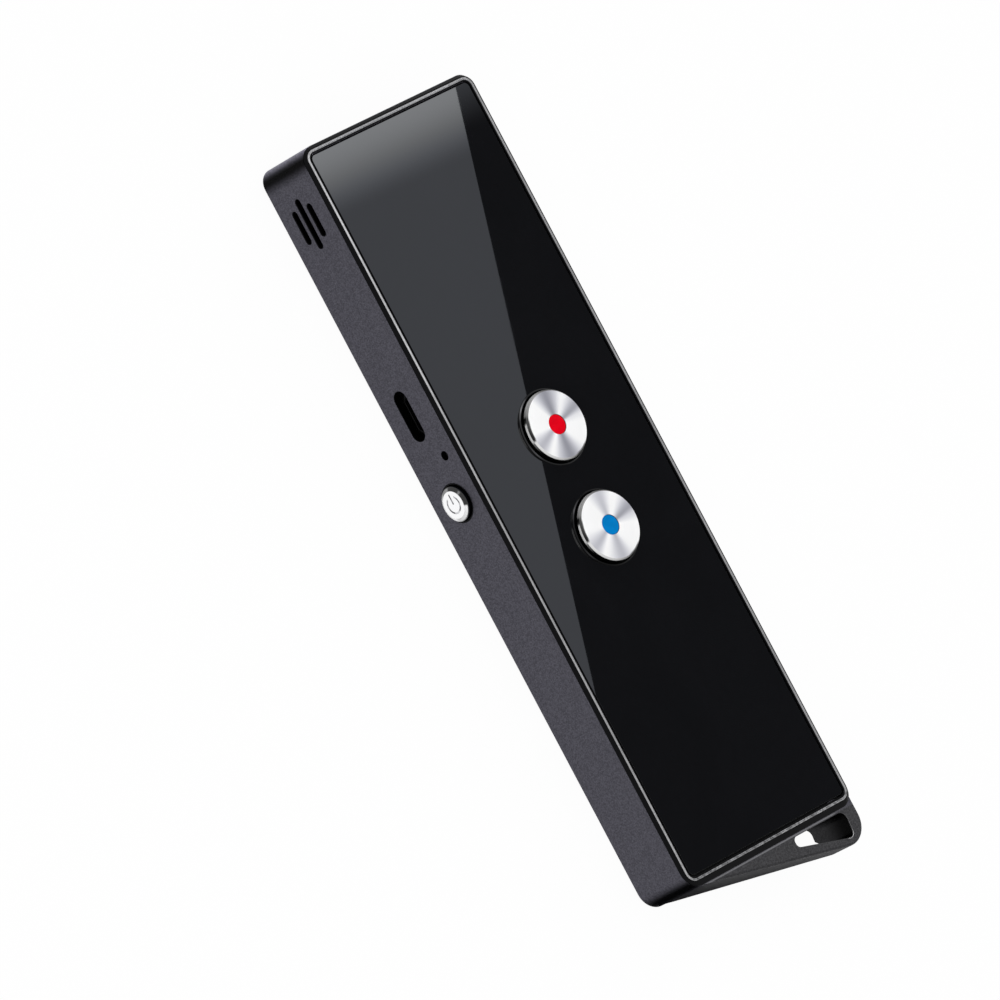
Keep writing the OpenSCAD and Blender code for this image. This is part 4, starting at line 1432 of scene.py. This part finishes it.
@dataclass
class Housing:
    """The outer shell: frame, bezel with its cut edge, glass and back cover.

    Attributes:
        rim_low_mm: lowest x and y of the front rim.
        rim_high_mm: highest x and y of the front rim.
        rim_top_mm: height of the rim over the back face.
        rim_radius_mm: radius of its corners.
        cut_start_mm: how far inside the rim's outline the bright cut edge starts.
        cut_width_mm: width of the bright cut edge.
        cut_drop_mm: how much nearer to the bottom end it lies there.
        cut_foot_mm: how deep its two sides reach into the rim.
        walls_mm: how far from the middle the side walls' inner faces lie, at least.
        ends_mm: y between which an edge is inside the walls.
        plate_mm: height of the cover's outer edge, at most.
        grille_mm: how far from the middle the grille reaches, at most.
        grille_ends_mm: y between which the grille lies.
    """

    rim_low_mm: tuple[float, float] = (-19.55, -62.8)
    rim_high_mm: tuple[float, float] = (19.55, 69.3)
    rim_top_mm: float = 12.8
    rim_radius_mm: float = 2.0
    cut_start_mm: float = 0.18
    cut_width_mm: float = 0.44
    cut_drop_mm: float = 0.1
    cut_foot_mm: float = 0.06
    walls_mm: float = 18.7
    ends_mm: tuple[float, float] = (-62.5, 68.5)
    plate_mm: float = 0.05
    grille_mm: float = 16.0
    grille_ends_mm: tuple[float, float] = (30.0, 63.0)
    frame_finish: Anodised = Anodised("frame anodising", srgb("4f4e56"), 0.4)
    cover_finish: Anodised = Anodised("cover anodising", srgb("47464d"), 0.44)
    bezel_finish: GlossBlack = GlossBlack("bezel black", DEEP_BLACK, 0.14)
    glass_finish: BlackGlass = BlackGlass("panel glass", (0.002, 0.002, 0.0025), 0.004)
    cut_finish: CutEdge = CutEdge("cut edge", (0.48, 0.48, 0.49), 0.16, mottle=0.45)

    def build(self) -> None:
        """Builds every piece of the shell."""
        softened("middle_frame", "anodised_frame", self.frame_finish.build(), HOUSING, 0.13,
                 self.frame_weights)
        softened("front_bezel", "black_bezel", self.bezel_finish.build(), HOUSING, 0.05)
        self.build_cut_edge()
        softened("front_glass", "black_glass_panel", self.glass_finish.build(), HOUSING, 0.025)
        softened("back_cover", "grille_cover", self.cover_finish.build(), HOUSING, 0.4,
                 self.cover_weights, segments=3)

    def frame_weights(self, a: np.ndarray, b: np.ndarray) -> np.ndarray:
        """Bevel weights of the frame: the outside is rounder than the edges inside the walls.

        Args:
            a: one end of each edge.
            b: the other end.

        Returns:
            The weight of each edge.
        """
        between = (a[:, 1] > self.ends_mm[0]) & (a[:, 1] < self.ends_mm[1])
        inside = (np.abs((a[:, 0] + b[:, 0]) / 2) < self.walls_mm) & between
        return np.where(inside, 0.3, 1.0)

    def cover_weights(self, a: np.ndarray, b: np.ndarray) -> np.ndarray:
        """Bevel weights of the cover: its plate has a soft outer edge, its grille holes a fine one.

        Args:
            a: one end of each edge.
            b: the other end.

        Returns:
            The weight of each edge.
        """
        low = np.maximum(a[:, 2], b[:, 2]) < self.plate_mm
        between = (a[:, 1] > self.grille_ends_mm[0]) & (a[:, 1] < self.grille_ends_mm[1])
        hole = (np.abs(a[:, 0]) < self.grille_mm) & between
        return np.where(hole, 0.2, np.where(low, 1.0, 0.15))

    def build_cut_edge(self) -> None:
        """The bright cut edge, laid along the outside of the bezel's rim."""
        top, start, end = self.rim_top_mm, self.cut_start_mm, self.cut_start_mm + self.cut_width_mm
        foot = top - self.cut_foot_mm
        corners = [(start, foot), (start, top - 0.01), (start + 0.12, top + 0.03), (end - 0.16, top + 0.035),
                   (end, top), (end, foot)]
        low = (self.rim_low_mm[0], self.rim_low_mm[1] - self.cut_drop_mm)
        mesh = sweep_rectangle("bright_cut_edge", fillet(corners, 0.05), low, self.rim_high_mm, self.rim_radius_mm)
        piece("bright_cut_edge", mesh, self.cut_finish.build(), HOUSING)


@dataclass(frozen=True)
class ButtonLook:
    """How one talk button differs from the other.

    Attributes:
        word: the colour's name, as the nodes use it.
        dot: colour of the enamel.
        y_mm: its place along the length.
        ring_tone_and_glint: how pale the black chrome of its ring is, which also sets how bright its painted glints
            are.
        sectors: degrees from +X, and the painted sheen: what is left of the spun face's colour there.
    """

    word: str
    dot: Colour
    y_mm: float
    ring_tone_and_glint: float
    sectors: Stops


class ButtonColour(Enum):
    """The two talk buttons."""

    # The sectors are painted sheen on each spun face.
    RED = ButtonLook("red", srgb("db0018"), 12.2, 0.2, (
        (0.0, 0.85), (15.0, 0.4), (45.0, 0.95), (62.0, 0.65), (88.0, 0.35), (120.0, 1.0), (168.0, 1.0),
        (180.0, 0.95), (195.0, 0.6), (208.0, 0.6), (225.0, 1.0), (242.0, 0.65), (268.0, 0.35), (300.0, 0.95),
        (345.0, 1.0), (360.0, 0.85)))
    BLUE = ButtonLook("blue", srgb("0077bd"), -6.0, 0.09, (
        (0.0, 0.75), (15.0, 0.4), (45.0, 1.0), (60.0, 0.95), (82.0, 0.6), (108.0, 0.95), (120.0, 1.0),
        (168.0, 1.0), (180.0, 0.9), (195.0, 0.65), (208.0, 0.6), (225.0, 1.0), (262.0, 0.55), (288.0, 0.95),
        (345.0, 1.0), (360.0, 0.75)))


@dataclass
class TalkButton:
    """One talk button: turned cap, enamel dot and the dark ring round it.

    Attributes:
        kind: which of the two.
        top_mm: height of its face over the back face.
        cap_radius_mm: radius of the cap.
        cut_mm: how far in and how far down its cut edge goes.
        under_mm: height of the cap's underside.
        under_cut_mm: size of the edge below.
        stem_radius_mm: radius of the stem.
        foot_mm: height of the stem's foot.
        foot_step_mm: how much narrower and how high the foot is.
        dot_radius_mm: radius of the dot.
        seat_mm: depth of the dot's seat.
        crown_mm: how much the dot's face falls to its edge.
        gap_mm: the gap round and over the dot.
        glass_mm: height of the glass.
        floor_mm: height of the ring's lower end.
        ring_bore_mm: radius inside the ring.
        ring_sleeve_mm: radius outside its sleeve.
        ring_lip_mm: radius of its lip.
    """

    kind: ButtonColour
    top_mm: float = 14.2
    cap_radius_mm: float = 6.0
    cut_mm: tuple[float, float] = (0.29, 0.34)
    under_mm: float = 12.35
    under_cut_mm: float = 0.15
    stem_radius_mm: float = 2.0
    foot_mm: float = 10.2
    foot_step_mm: tuple[float, float] = (0.5, 0.4)
    dot_radius_mm: float = 1.7
    seat_mm: float = 0.2
    crown_mm: float = 0.05
    gap_mm: float = 0.02
    glass_mm: float = 12.7
    floor_mm: float = 11.7
    ring_bore_mm: float = 6.13
    ring_sleeve_mm: float = 6.37
    ring_lip_mm: float = 6.54

    @property
    def look(self) -> ButtonLook:
        """How this button looks."""
        return self.kind.value

    def build(self) -> None:
        """Builds the cap, the dot and the ring."""
        self.build_cap()
        self.build_dot()
        self.build_ring()

    def turned(self, name: str, profile: np.ndarray, finish: Finish, body: str, slot: str, node: str,
               close_u: bool = False, segments: int = 160) -> None:
        """Turns a profile about the button's axis and makes it a piece.

        Args:
            name: the piece's name without the colour.
            profile: radius and height of each point.
            finish: its finish.
            body: the CAD body that it rides on.
            slot: a material slot's name; not used.
            node: the CAD node that it replaces, without the colour.
            close_u: whether the profile is a closed loop.
            segments: how many steps go round.
        """
        word = self.look.word
        mesh = revolve(f"{word}_{name}", profile, (0.0, self.look.y_mm), close_u, segments)
        piece(f"{word}_{name}", mesh, finish.build(), body, (f"{word}_{node}",))

    def build_cap(self) -> None:
        """The cap: a profile from the stem's foot to the dot's seat."""
        r, top, stem, edge = self.cap_radius_mm, self.top_mm, self.stem_radius_mm, self.under_cut_mm
        neck, step = stem - self.foot_step_mm[0], self.foot_mm + self.foot_step_mm[1]
        seat, bottom = self.dot_radius_mm, top - self.seat_mm
        corners = [(0.0, self.foot_mm), (neck, self.foot_mm), (neck, step), (stem, step), (stem, self.under_mm),
                   (r - edge, self.under_mm), (r, self.under_mm + edge), (r, top - self.cut_mm[1]),
                   (r - self.cut_mm[0], top), (seat + 0.04, top), (seat, top - 0.04), (seat, bottom), (0.0, bottom)]
        radii = [0.0, 0.03, 0.03, 0.03, 0.1, 0.05, 0.05, 0.05, 0.05, 0.02, 0.02, 0.02, 0.0]
        finish = SpunMetal(f"spun metal {self.look.word}", WHITE, 0.42, axis_xy_mm=(0.0, self.look.y_mm),
                           sectors=self.look.sectors)
        self.turned("talk_button", fillet(corners, radii), finish, f"{self.look.word}_button", "button_metal",
                    "button_cap")

    def build_dot(self) -> None:
        """The dot: a low lens, height falling with the square of the radius, with a rounded edge."""
        r, top = self.dot_radius_mm - self.gap_mm, self.top_mm - self.gap_mm
        s = np.linspace(0.0, 1.0, 14)
        crown = np.stack([s * r * 0.96, top - self.crown_mm * s ** 2], -1)
        edge = np.array([(r, top - 0.1), (r, top - 0.19), (0.0, top - 0.19)])
        self.turned("enamel_dot", np.concatenate([crown, edge]),
                    Enamel(f"enamel {self.look.word}", self.look.dot, 0.25), f"{self.look.word}_button",
                    f"dot_{self.look.word}", "button_dot", segments=96)

    def build_ring(self) -> None:
        """The ring: a round lip on the glass and a sleeve in its hole, as one closed loop."""
        bore, sleeve, out = self.ring_bore_mm, self.ring_sleeve_mm, self.ring_lip_mm
        z = self.glass_mm + 0.02
        corners = [(bore, self.floor_mm), (sleeve, self.floor_mm), (sleeve, z), (out, z), (out - 0.03, z + 0.12),
                   (out - 0.17, z + 0.23), (bore + 0.12, z + 0.23), (bore, z + 0.1), (bore, self.floor_mm)]
        # the ring's tone also sets how bright its painted glints are
        tone = self.look.ring_tone_and_glint
        finish = RingChrome(f"black chrome {self.look.word}", (tone, tone, tone * 1.05), 0.1, scratch=0.04,
                            axis_xy_mm=(0.0, self.look.y_mm))
        self.turned("trim_ring", fillet(corners, 0.06)[:-1], finish, HOUSING, "ring_dark", "button_ring",
                    close_u=True)


@dataclass
class PowerButton:
    """The side button with its engraved mark, and the dark sleeve that it slides in."""

    cap_finish: EngravedMetal = EngravedMetal("polished power cap", (0.97, 0.97, 0.98), 0.16, scratch=0.05,
                                              mottle=0.05)
    sleeve_finish: GlossBlack = GlossBlack("sleeve black", (0.005, 0.005, 0.006), 0.25)

    def build(self) -> None:
        """Builds the cap and the sleeve with softened edges."""
        softened("power_button_cap", "power_button", self.cap_finish.build(), "power_button", 0.04)
        softened("power_button_ring", "power_button_sleeve", self.sleeve_finish.build(), HOUSING,
                 0.05)


@dataclass
class SideSockets:
    """What shows in the side openings: socket, light pipe and microphone mesh."""

    # The shell's near-black colour is painted shade inside the socket.
    shell_finish: BareMetal = BareMetal("nickel shell in painted shade", (0.02, 0.02, 0.021), 0.45)
    tongue_finish: Moulded = Moulded("socket plastic", SOFT_BLACK, 0.4)
    contact_finish: BareMetal = BareMetal("contact gold", (0.5, 0.34, 0.13), 0.3)
    pipe_finish: Moulded = Moulded("smoked rod", (0.01, 0.01, 0.011), 0.25, grain_per_mm=10.0, depth_mm=0.002)
    mesh_finish: Woven = Woven("microphone mesh", (0.01, 0.01, 0.011), 0.8, threads_per_mm=6.0)

    def build(self) -> None:
        """Builds the socket's shell with softened edges and dresses the rest."""
        softened("usb_socket_shell", "socket_shell", self.shell_finish.build(), HOUSING, 0.06)
        dress("usb_socket_tongue", self.tongue_finish.build())
        dress("usb_contacts", self.contact_finish.build())
        dress("light_pipe", self.pipe_finish.build())
        dress("microphone_mesh", self.mesh_finish.build())


@dataclass
class Insides:
    """The pieces behind the covers, which keep their CAD shapes."""

    def build(self) -> None:
        """Dresses every node inside the housing."""
        steel = BareMetal("zinc plated steel", (0.62, 0.63, 0.64), 0.3).build()
        black = Moulded("black moulding", SOFT_BLACK, 0.5).build()
        chip = Moulded("chip resin", (0.009, 0.009, 0.01), 0.42, grain_per_mm=14.0, depth_mm=0.004).build()
        cream = Moulded("natural nylon", (0.72, 0.68, 0.58), 0.45).build()
        foam = Moulded("black foam", (0.015, 0.015, 0.016), 0.9, grain_per_mm=4.0, depth_mm=0.06).build()
        rubber = Moulded("black rubber", (0.012, 0.012, 0.012), 0.7, grain_per_mm=10.0).build()
        silicone = Moulded("silicone dome", (0.55, 0.57, 0.6), 0.5).build()
        finishes = {
            "glass_adhesive": rubber,
            "inner_chassis": Moulded("grey moulding", srgb("5a5c60"), 0.55).build(),
            "chassis_screws": steel,
            "board_screws": steel,
            "main_board": SolderMask("solder mask", (0.01, 0.08, 0.035), 0.35).build(),
            "processor_chip": chip,
            "memory_chip": chip,
            "wireless_can": BareMetal("tinned can", (0.6, 0.61, 0.62), 0.35, stretch=(1.0, 0.1, 1.0)).build(),
            "chip_antenna": Moulded("fired ceramic", (0.62, 0.6, 0.54), 0.4).build(),
            "small_components": Moulded("component mix", (0.2, 0.13, 0.07), 0.45).build(),
            "indicator_led": Enamel("lamp resin", (0.8, 0.78, 0.7), 0.3).build(),
            "microphone_capsule": BareMetal("gold plated can", (0.75, 0.6, 0.3), 0.25).build(),
            "microphone_boot": rubber,
            "speaker_mesh": Woven("speaker cloth", SOFT_BLACK, 0.85).build(),
            "speaker_gasket": foam,
            "speaker_basket": BareMetal("passivated steel", (0.4, 0.41, 0.43), 0.4).build(),
            "speaker_cone": Moulded("cone paper", SOFT_BLACK, 0.85, grain_per_mm=3.0, depth_mm=0.04).build(),
            "voice_coil": BareMetal("copper winding", (0.75, 0.35, 0.13), 0.3, stretch=(0.2, 0.2, 6.0)).build(),
            "speaker_magnet": BareMetal("nickel plated magnet", (0.66, 0.66, 0.67), 0.15).build(),
            "speaker_yoke": steel,
            "speaker_leads": rubber,
            "battery_cell": PouchFoil("pouch foil", (0.6, 0.62, 0.65), 0.35).build(),
            "battery_foam_pad": foam,
            "battery_leads": Moulded("red insulation", (0.35, 0.01, 0.012), 0.5).build(),
            "battery_plug": cream,
            "battery_socket": cream,
            "red_switch_base": black,
            "blue_switch_base": black,
            "power_switch_base": black,
            "red_switch_dome": silicone,
            "blue_switch_dome": silicone,
            "red_button_clip": steel,
            "blue_button_clip": steel,
            "red_switch_plunger": cream,
            "blue_switch_plunger": cream,
            "power_switch_plunger": cream,
        }
        for node, material in finishes.items():
            dress(node, material)


# ---------------------------------------------------------------- the studio


def put_on_stage(name: str, mesh: bpy.types.Mesh, material: bpy.types.Material,
                 unseen_by: Sequence[str] = ()) -> None:
    """Adds a mesh that belongs to the studio.

    Args:
        name: the object's name.
        mesh: its mesh, in place.
        material: its material.
        unseen_by: kinds of ray that pass it by, such as "camera".
    """
    thing = placed(name, mesh, material)
    for kind in unseen_by:
        setattr(thing, f"visible_{kind}", False)


@dataclass(frozen=True)
class Flag:
    """A black card that only mirrors see: a sector of a ring on the floor, with an upright outer edge.

    Attributes:
        name: its name.
        centre_mm: x and y of the ring's centre.
        degrees: where the sector starts and ends, anticlockwise from +X.
        radii_mm: the ring's inner and outer radius.
        low_mm: height of the sector.
        high_mm: height of its outer edge.
    """

    name: str
    centre_mm: tuple[float, float]
    degrees: tuple[float, float]
    radii_mm: tuple[float, float]
    low_mm: float = 0.05
    high_mm: float = 0.1

    def build(self) -> None:
        """Builds the card: rows at the inner radius, the outer radius and the raised edge."""
        t = np.radians(np.linspace(*self.degrees, 25))
        r = np.array([self.radii_mm[0] + 0.01, self.radii_mm[1], self.radii_mm[1]])[:, None]
        z = np.array([self.low_mm, self.low_mm, self.high_mm])[:, None]
        x, y = self.centre_mm[0] + r * np.cos(t), self.centre_mm[1] + r * np.sin(t)
        mesh = grid_mesh(self.name, np.stack([x, y, np.broadcast_to(z, x.shape)], -1) * MM, close_v=False)
        material, nodes = new_material("flag black")
        black = nodes.add("BsdfDiffuse", {"Color": rgba(WHITE, 0.0)})
        nodes.add("OutputMaterial", {"Surface": black.outputs[0]})
        put_on_stage(self.name, mesh, material, ("camera", "diffuse", "transmission", "shadow"))


@dataclass(frozen=True)
class Lamp:
    """A square soft lamp that faces the object and shows in no mirror.

    Attributes:
        name: its name.
        place: where it stands, in metres.
        size: length of its side, in metres.
        watts: its power.
    """

    name: str
    place: tuple[float, float, float]
    size: float
    watts: float

    def build(self) -> None:
        """Builds the lamp."""
        data = bpy.data.lights.new(self.name, "AREA")
        data.shape = "SQUARE"
        data.size = self.size
        data.energy = self.watts
        lamp = bpy.data.objects.new(self.name, data)
        lamp.location = self.place
        lamp.visible_glossy = False
        lamp.rotation_euler = (-Vector(self.place)).to_track_quat("-Z", "Y").to_euler()
        bpy.context.scene.collection.objects.link(lamp)


@dataclass(frozen=True)
class MirrorCard:
    """The card that the glass mirrors: pale on one side of a sharp edge, nearly black on the other.

    Its plane faces the object along the mirrored line of sight. Its own x axis runs across the edge
    and its own y axis along it.

    Attributes:
        edge_top: a point of the edge, in metres.
        edge_foot: another one, from which the card is measured.
        facing: the direction that it faces.
        corners_mm: how far across and along each corner lies.
        lean: how much the line of one level leans, as a share of the way across.
        pale_mm: along the card, where the pale side is dullest and where it is brightest.
        pale: the strength at each.
        dark_mm: the same for the dark side.
        dark: the strength at each.
        tint_strengths: strengths at which the tint is cool and at which it is neutral.
        tints: those two tints.
    """

    edge_top: tuple[float, float, float] = (0.3452, 0.0896, 0.3881)
    edge_foot: tuple[float, float, float] = (0.3061, -0.0329, 0.3926)
    facing: tuple[float, float, float] = (-0.655, -0.02, -0.755)
    corners_mm: tuple[tuple[float, float], ...] = ((-49.0, -33.0), (-6.5, 136.0), (-5.0, -43.5), (37.0, 128.0))
    lean: float = 0.22
    pale_mm: Side = (114.1, 129.6)
    pale: tuple[float, float] = (1.0, 4.2)
    dark_mm: Side = (119.1, 132.1)
    dark: tuple[float, float] = (0.08, 0.8)
    tint_strengths: tuple[float, float] = (1.2, 3.0)
    tints: tuple[Colour, Colour] = ((0.96, 1.01, 1.12), (0.96, 0.99, 1.03))

    def build(self) -> None:
        """Builds the card with its glow."""
        foot = Vector(self.edge_foot)
        along = (Vector(self.edge_top) - foot).normalized()
        across = along.cross(Vector(self.facing).normalized()).normalized()
        corners = [foot + across * u * MM + along * v * MM for u, v in self.corners_mm]
        mesh = grid_mesh("mirror_card", np.array(corners).reshape(2, 2, 3), close_v=False)
        material, nodes = new_material("card")
        point = nodes.point_mm(tuple(foot / MM))
        level = nodes.dot(point, tuple(along + across * self.lean))
        pale = nodes.ramp(level, *self.pale_mm, *self.pale)
        dark = nodes.ramp(level, *self.dark_mm, *self.dark)
        beyond = nodes.math("GREATER_THAN", nodes.dot(point, tuple(across)), 0.0)
        strength = nodes.blend(beyond, dark, pale)
        tint = nodes.mix(nodes.ramp(strength, *self.tint_strengths), *(rgba(colour) for colour in self.tints))
        glow = nodes.add("Emission", {"Color": tint, "Strength": strength})
        nodes.add("OutputMaterial", {"Surface": glow.outputs[0]})
        put_on_stage("mirror_card", mesh, material, ("camera", "diffuse", "shadow"))


@dataclass
class Studio:
    """World, floor, lamps, cards and the camera.

    Attributes:
        eye: the camera's place, in metres.
        look: the direction that it looks in.
        right: the direction of the view's right side.
        lens_mm: focal length on the sensor.
        sensor_mm: width of the sensor.
        world_strength: strength of the world as light.
        floor_reach: how far the floor reaches from the middle, in metres.
        floor_drop_mm: how far under the object it lies.
        floor_glow: how much of its own white the floor shows where it is seen.
        lamps: key at the left, a broad one overhead and a low fill at the right.
        flags: the black cards.
    """

    eye: tuple[float, float, float] = (-1.331072, -0.021054, 1.546551)
    look: tuple[float, float, float] = (0.650558, 0.013213, -0.759341)
    right: tuple[float, float, float] = (0.675203, -0.467782, 0.570334)
    lens_mm: float = 455.89
    sensor_mm: float = 36.0
    world_strength: float = 0.55
    floor_reach: float = 4.0
    floor_drop_mm: float = 0.03
    floor_glow: float = 0.96
    lamps: tuple[Lamp, ...] = (
        Lamp("key", (-1.1, -0.5, 1.0), 0.8, 7.0),
        Lamp("overhead", (0.0, 0.2, 1.6), 1.2, 9.0),
        Lamp("fill", (1.2, 0.5, 0.7), 0.9, 4.0),
    )
    flags: tuple[Flag, ...] = (
        Flag("flag_bottom_left", (-16.6, -60.4), (-120.0, -42.0), (3.9, 70.0)),
        Flag("flag_bottom_edge", (-16.6, -60.4), (-42.0, -16.0), (4.2, 9.6)),
        Flag("flag_bottom_wall", (42.4, 129.1), (-107.0, -93.0), (200.3, 203.2)),
    )

    def build(self) -> None:
        """Builds the whole studio."""
        self.build_world()
        self.build_floor()
        for fitting in (*self.lamps, MirrorCard(), *self.flags):
            fitting.build()
        self.build_camera()
        bpy.context.scene.view_settings.view_transform = "Standard"

    def build_world(self) -> None:
        """A white world: full white where it is seen or mirrored, softer as light."""
        world = bpy.data.worlds.new("studio")
        bpy.context.scene.world = world
        world.use_nodes = True
        world.node_tree.nodes.clear()
        nodes = Nodes(world.node_tree)
        levels = {"Value": nodes.seen(), "To Min": self.world_strength, "To Max": 1.0}
        strength = nodes.add("MapRange", levels)
        back = nodes.add("Background", {"Color": rgba(WHITE), "Strength": strength.outputs[0]})
        nodes.add("OutputWorld", {"Surface": back.outputs[0]})

    def build_floor(self) -> None:
        """A pale floor that shows white and keeps a faint shadow."""
        side = np.linspace(-self.floor_reach, self.floor_reach, 9)
        x, y = np.meshgrid(side, side, indexing="ij")
        mesh = grid_mesh("floor", np.stack([x, y, np.full_like(x, -self.floor_drop_mm * MM)], -1), close_v=False)
        material, nodes = new_material("floor white")
        matt = nodes.add("BsdfDiffuse", {"Color": rgba(WHITE, 0.8)})
        glow = nodes.add("Emission", {"Color": rgba(WHITE), "Strength": 1.0})
        share = nodes.product(nodes.seen(), self.floor_glow)
        mixed = nodes.add("MixShader", {0: share, 1: matt.outputs[0], 2: glow.outputs[0]})
        nodes.add("OutputMaterial", {"Surface": mixed.outputs[0]})
        put_on_stage("floor", mesh, material)

    def build_camera(self) -> None:
        """Places the camera from its axes."""
        data = bpy.data.cameras.new("camera")
        data.lens = self.lens_mm
        data.sensor_width = self.sensor_mm
        data.clip_end = 20.0
        camera = bpy.data.objects.new("camera", data)
        right, look = Vector(self.right).normalized(), Vector(self.look).normalized()
        turn = Matrix((right, right.cross(look), -look)).transposed()
        camera.matrix_world = Matrix.Translation(self.eye) @ turn.to_4x4()
        bpy.context.scene.collection.objects.link(camera)
        bpy.context.scene.camera = camera


def main() -> None:
    """Builds the studio and the object in order."""
    logging.basicConfig(level=logging.INFO, format="%(name)s: %(message)s")
    buttons = [TalkButton(kind) for kind in ButtonColour]
    for assembly in (Studio(), Housing(), *buttons, PowerButton(), SideSockets(), Insides()):
        assembly.build()
    bpy.context.view_layer.update()


if __name__ == "__main__":
    main()
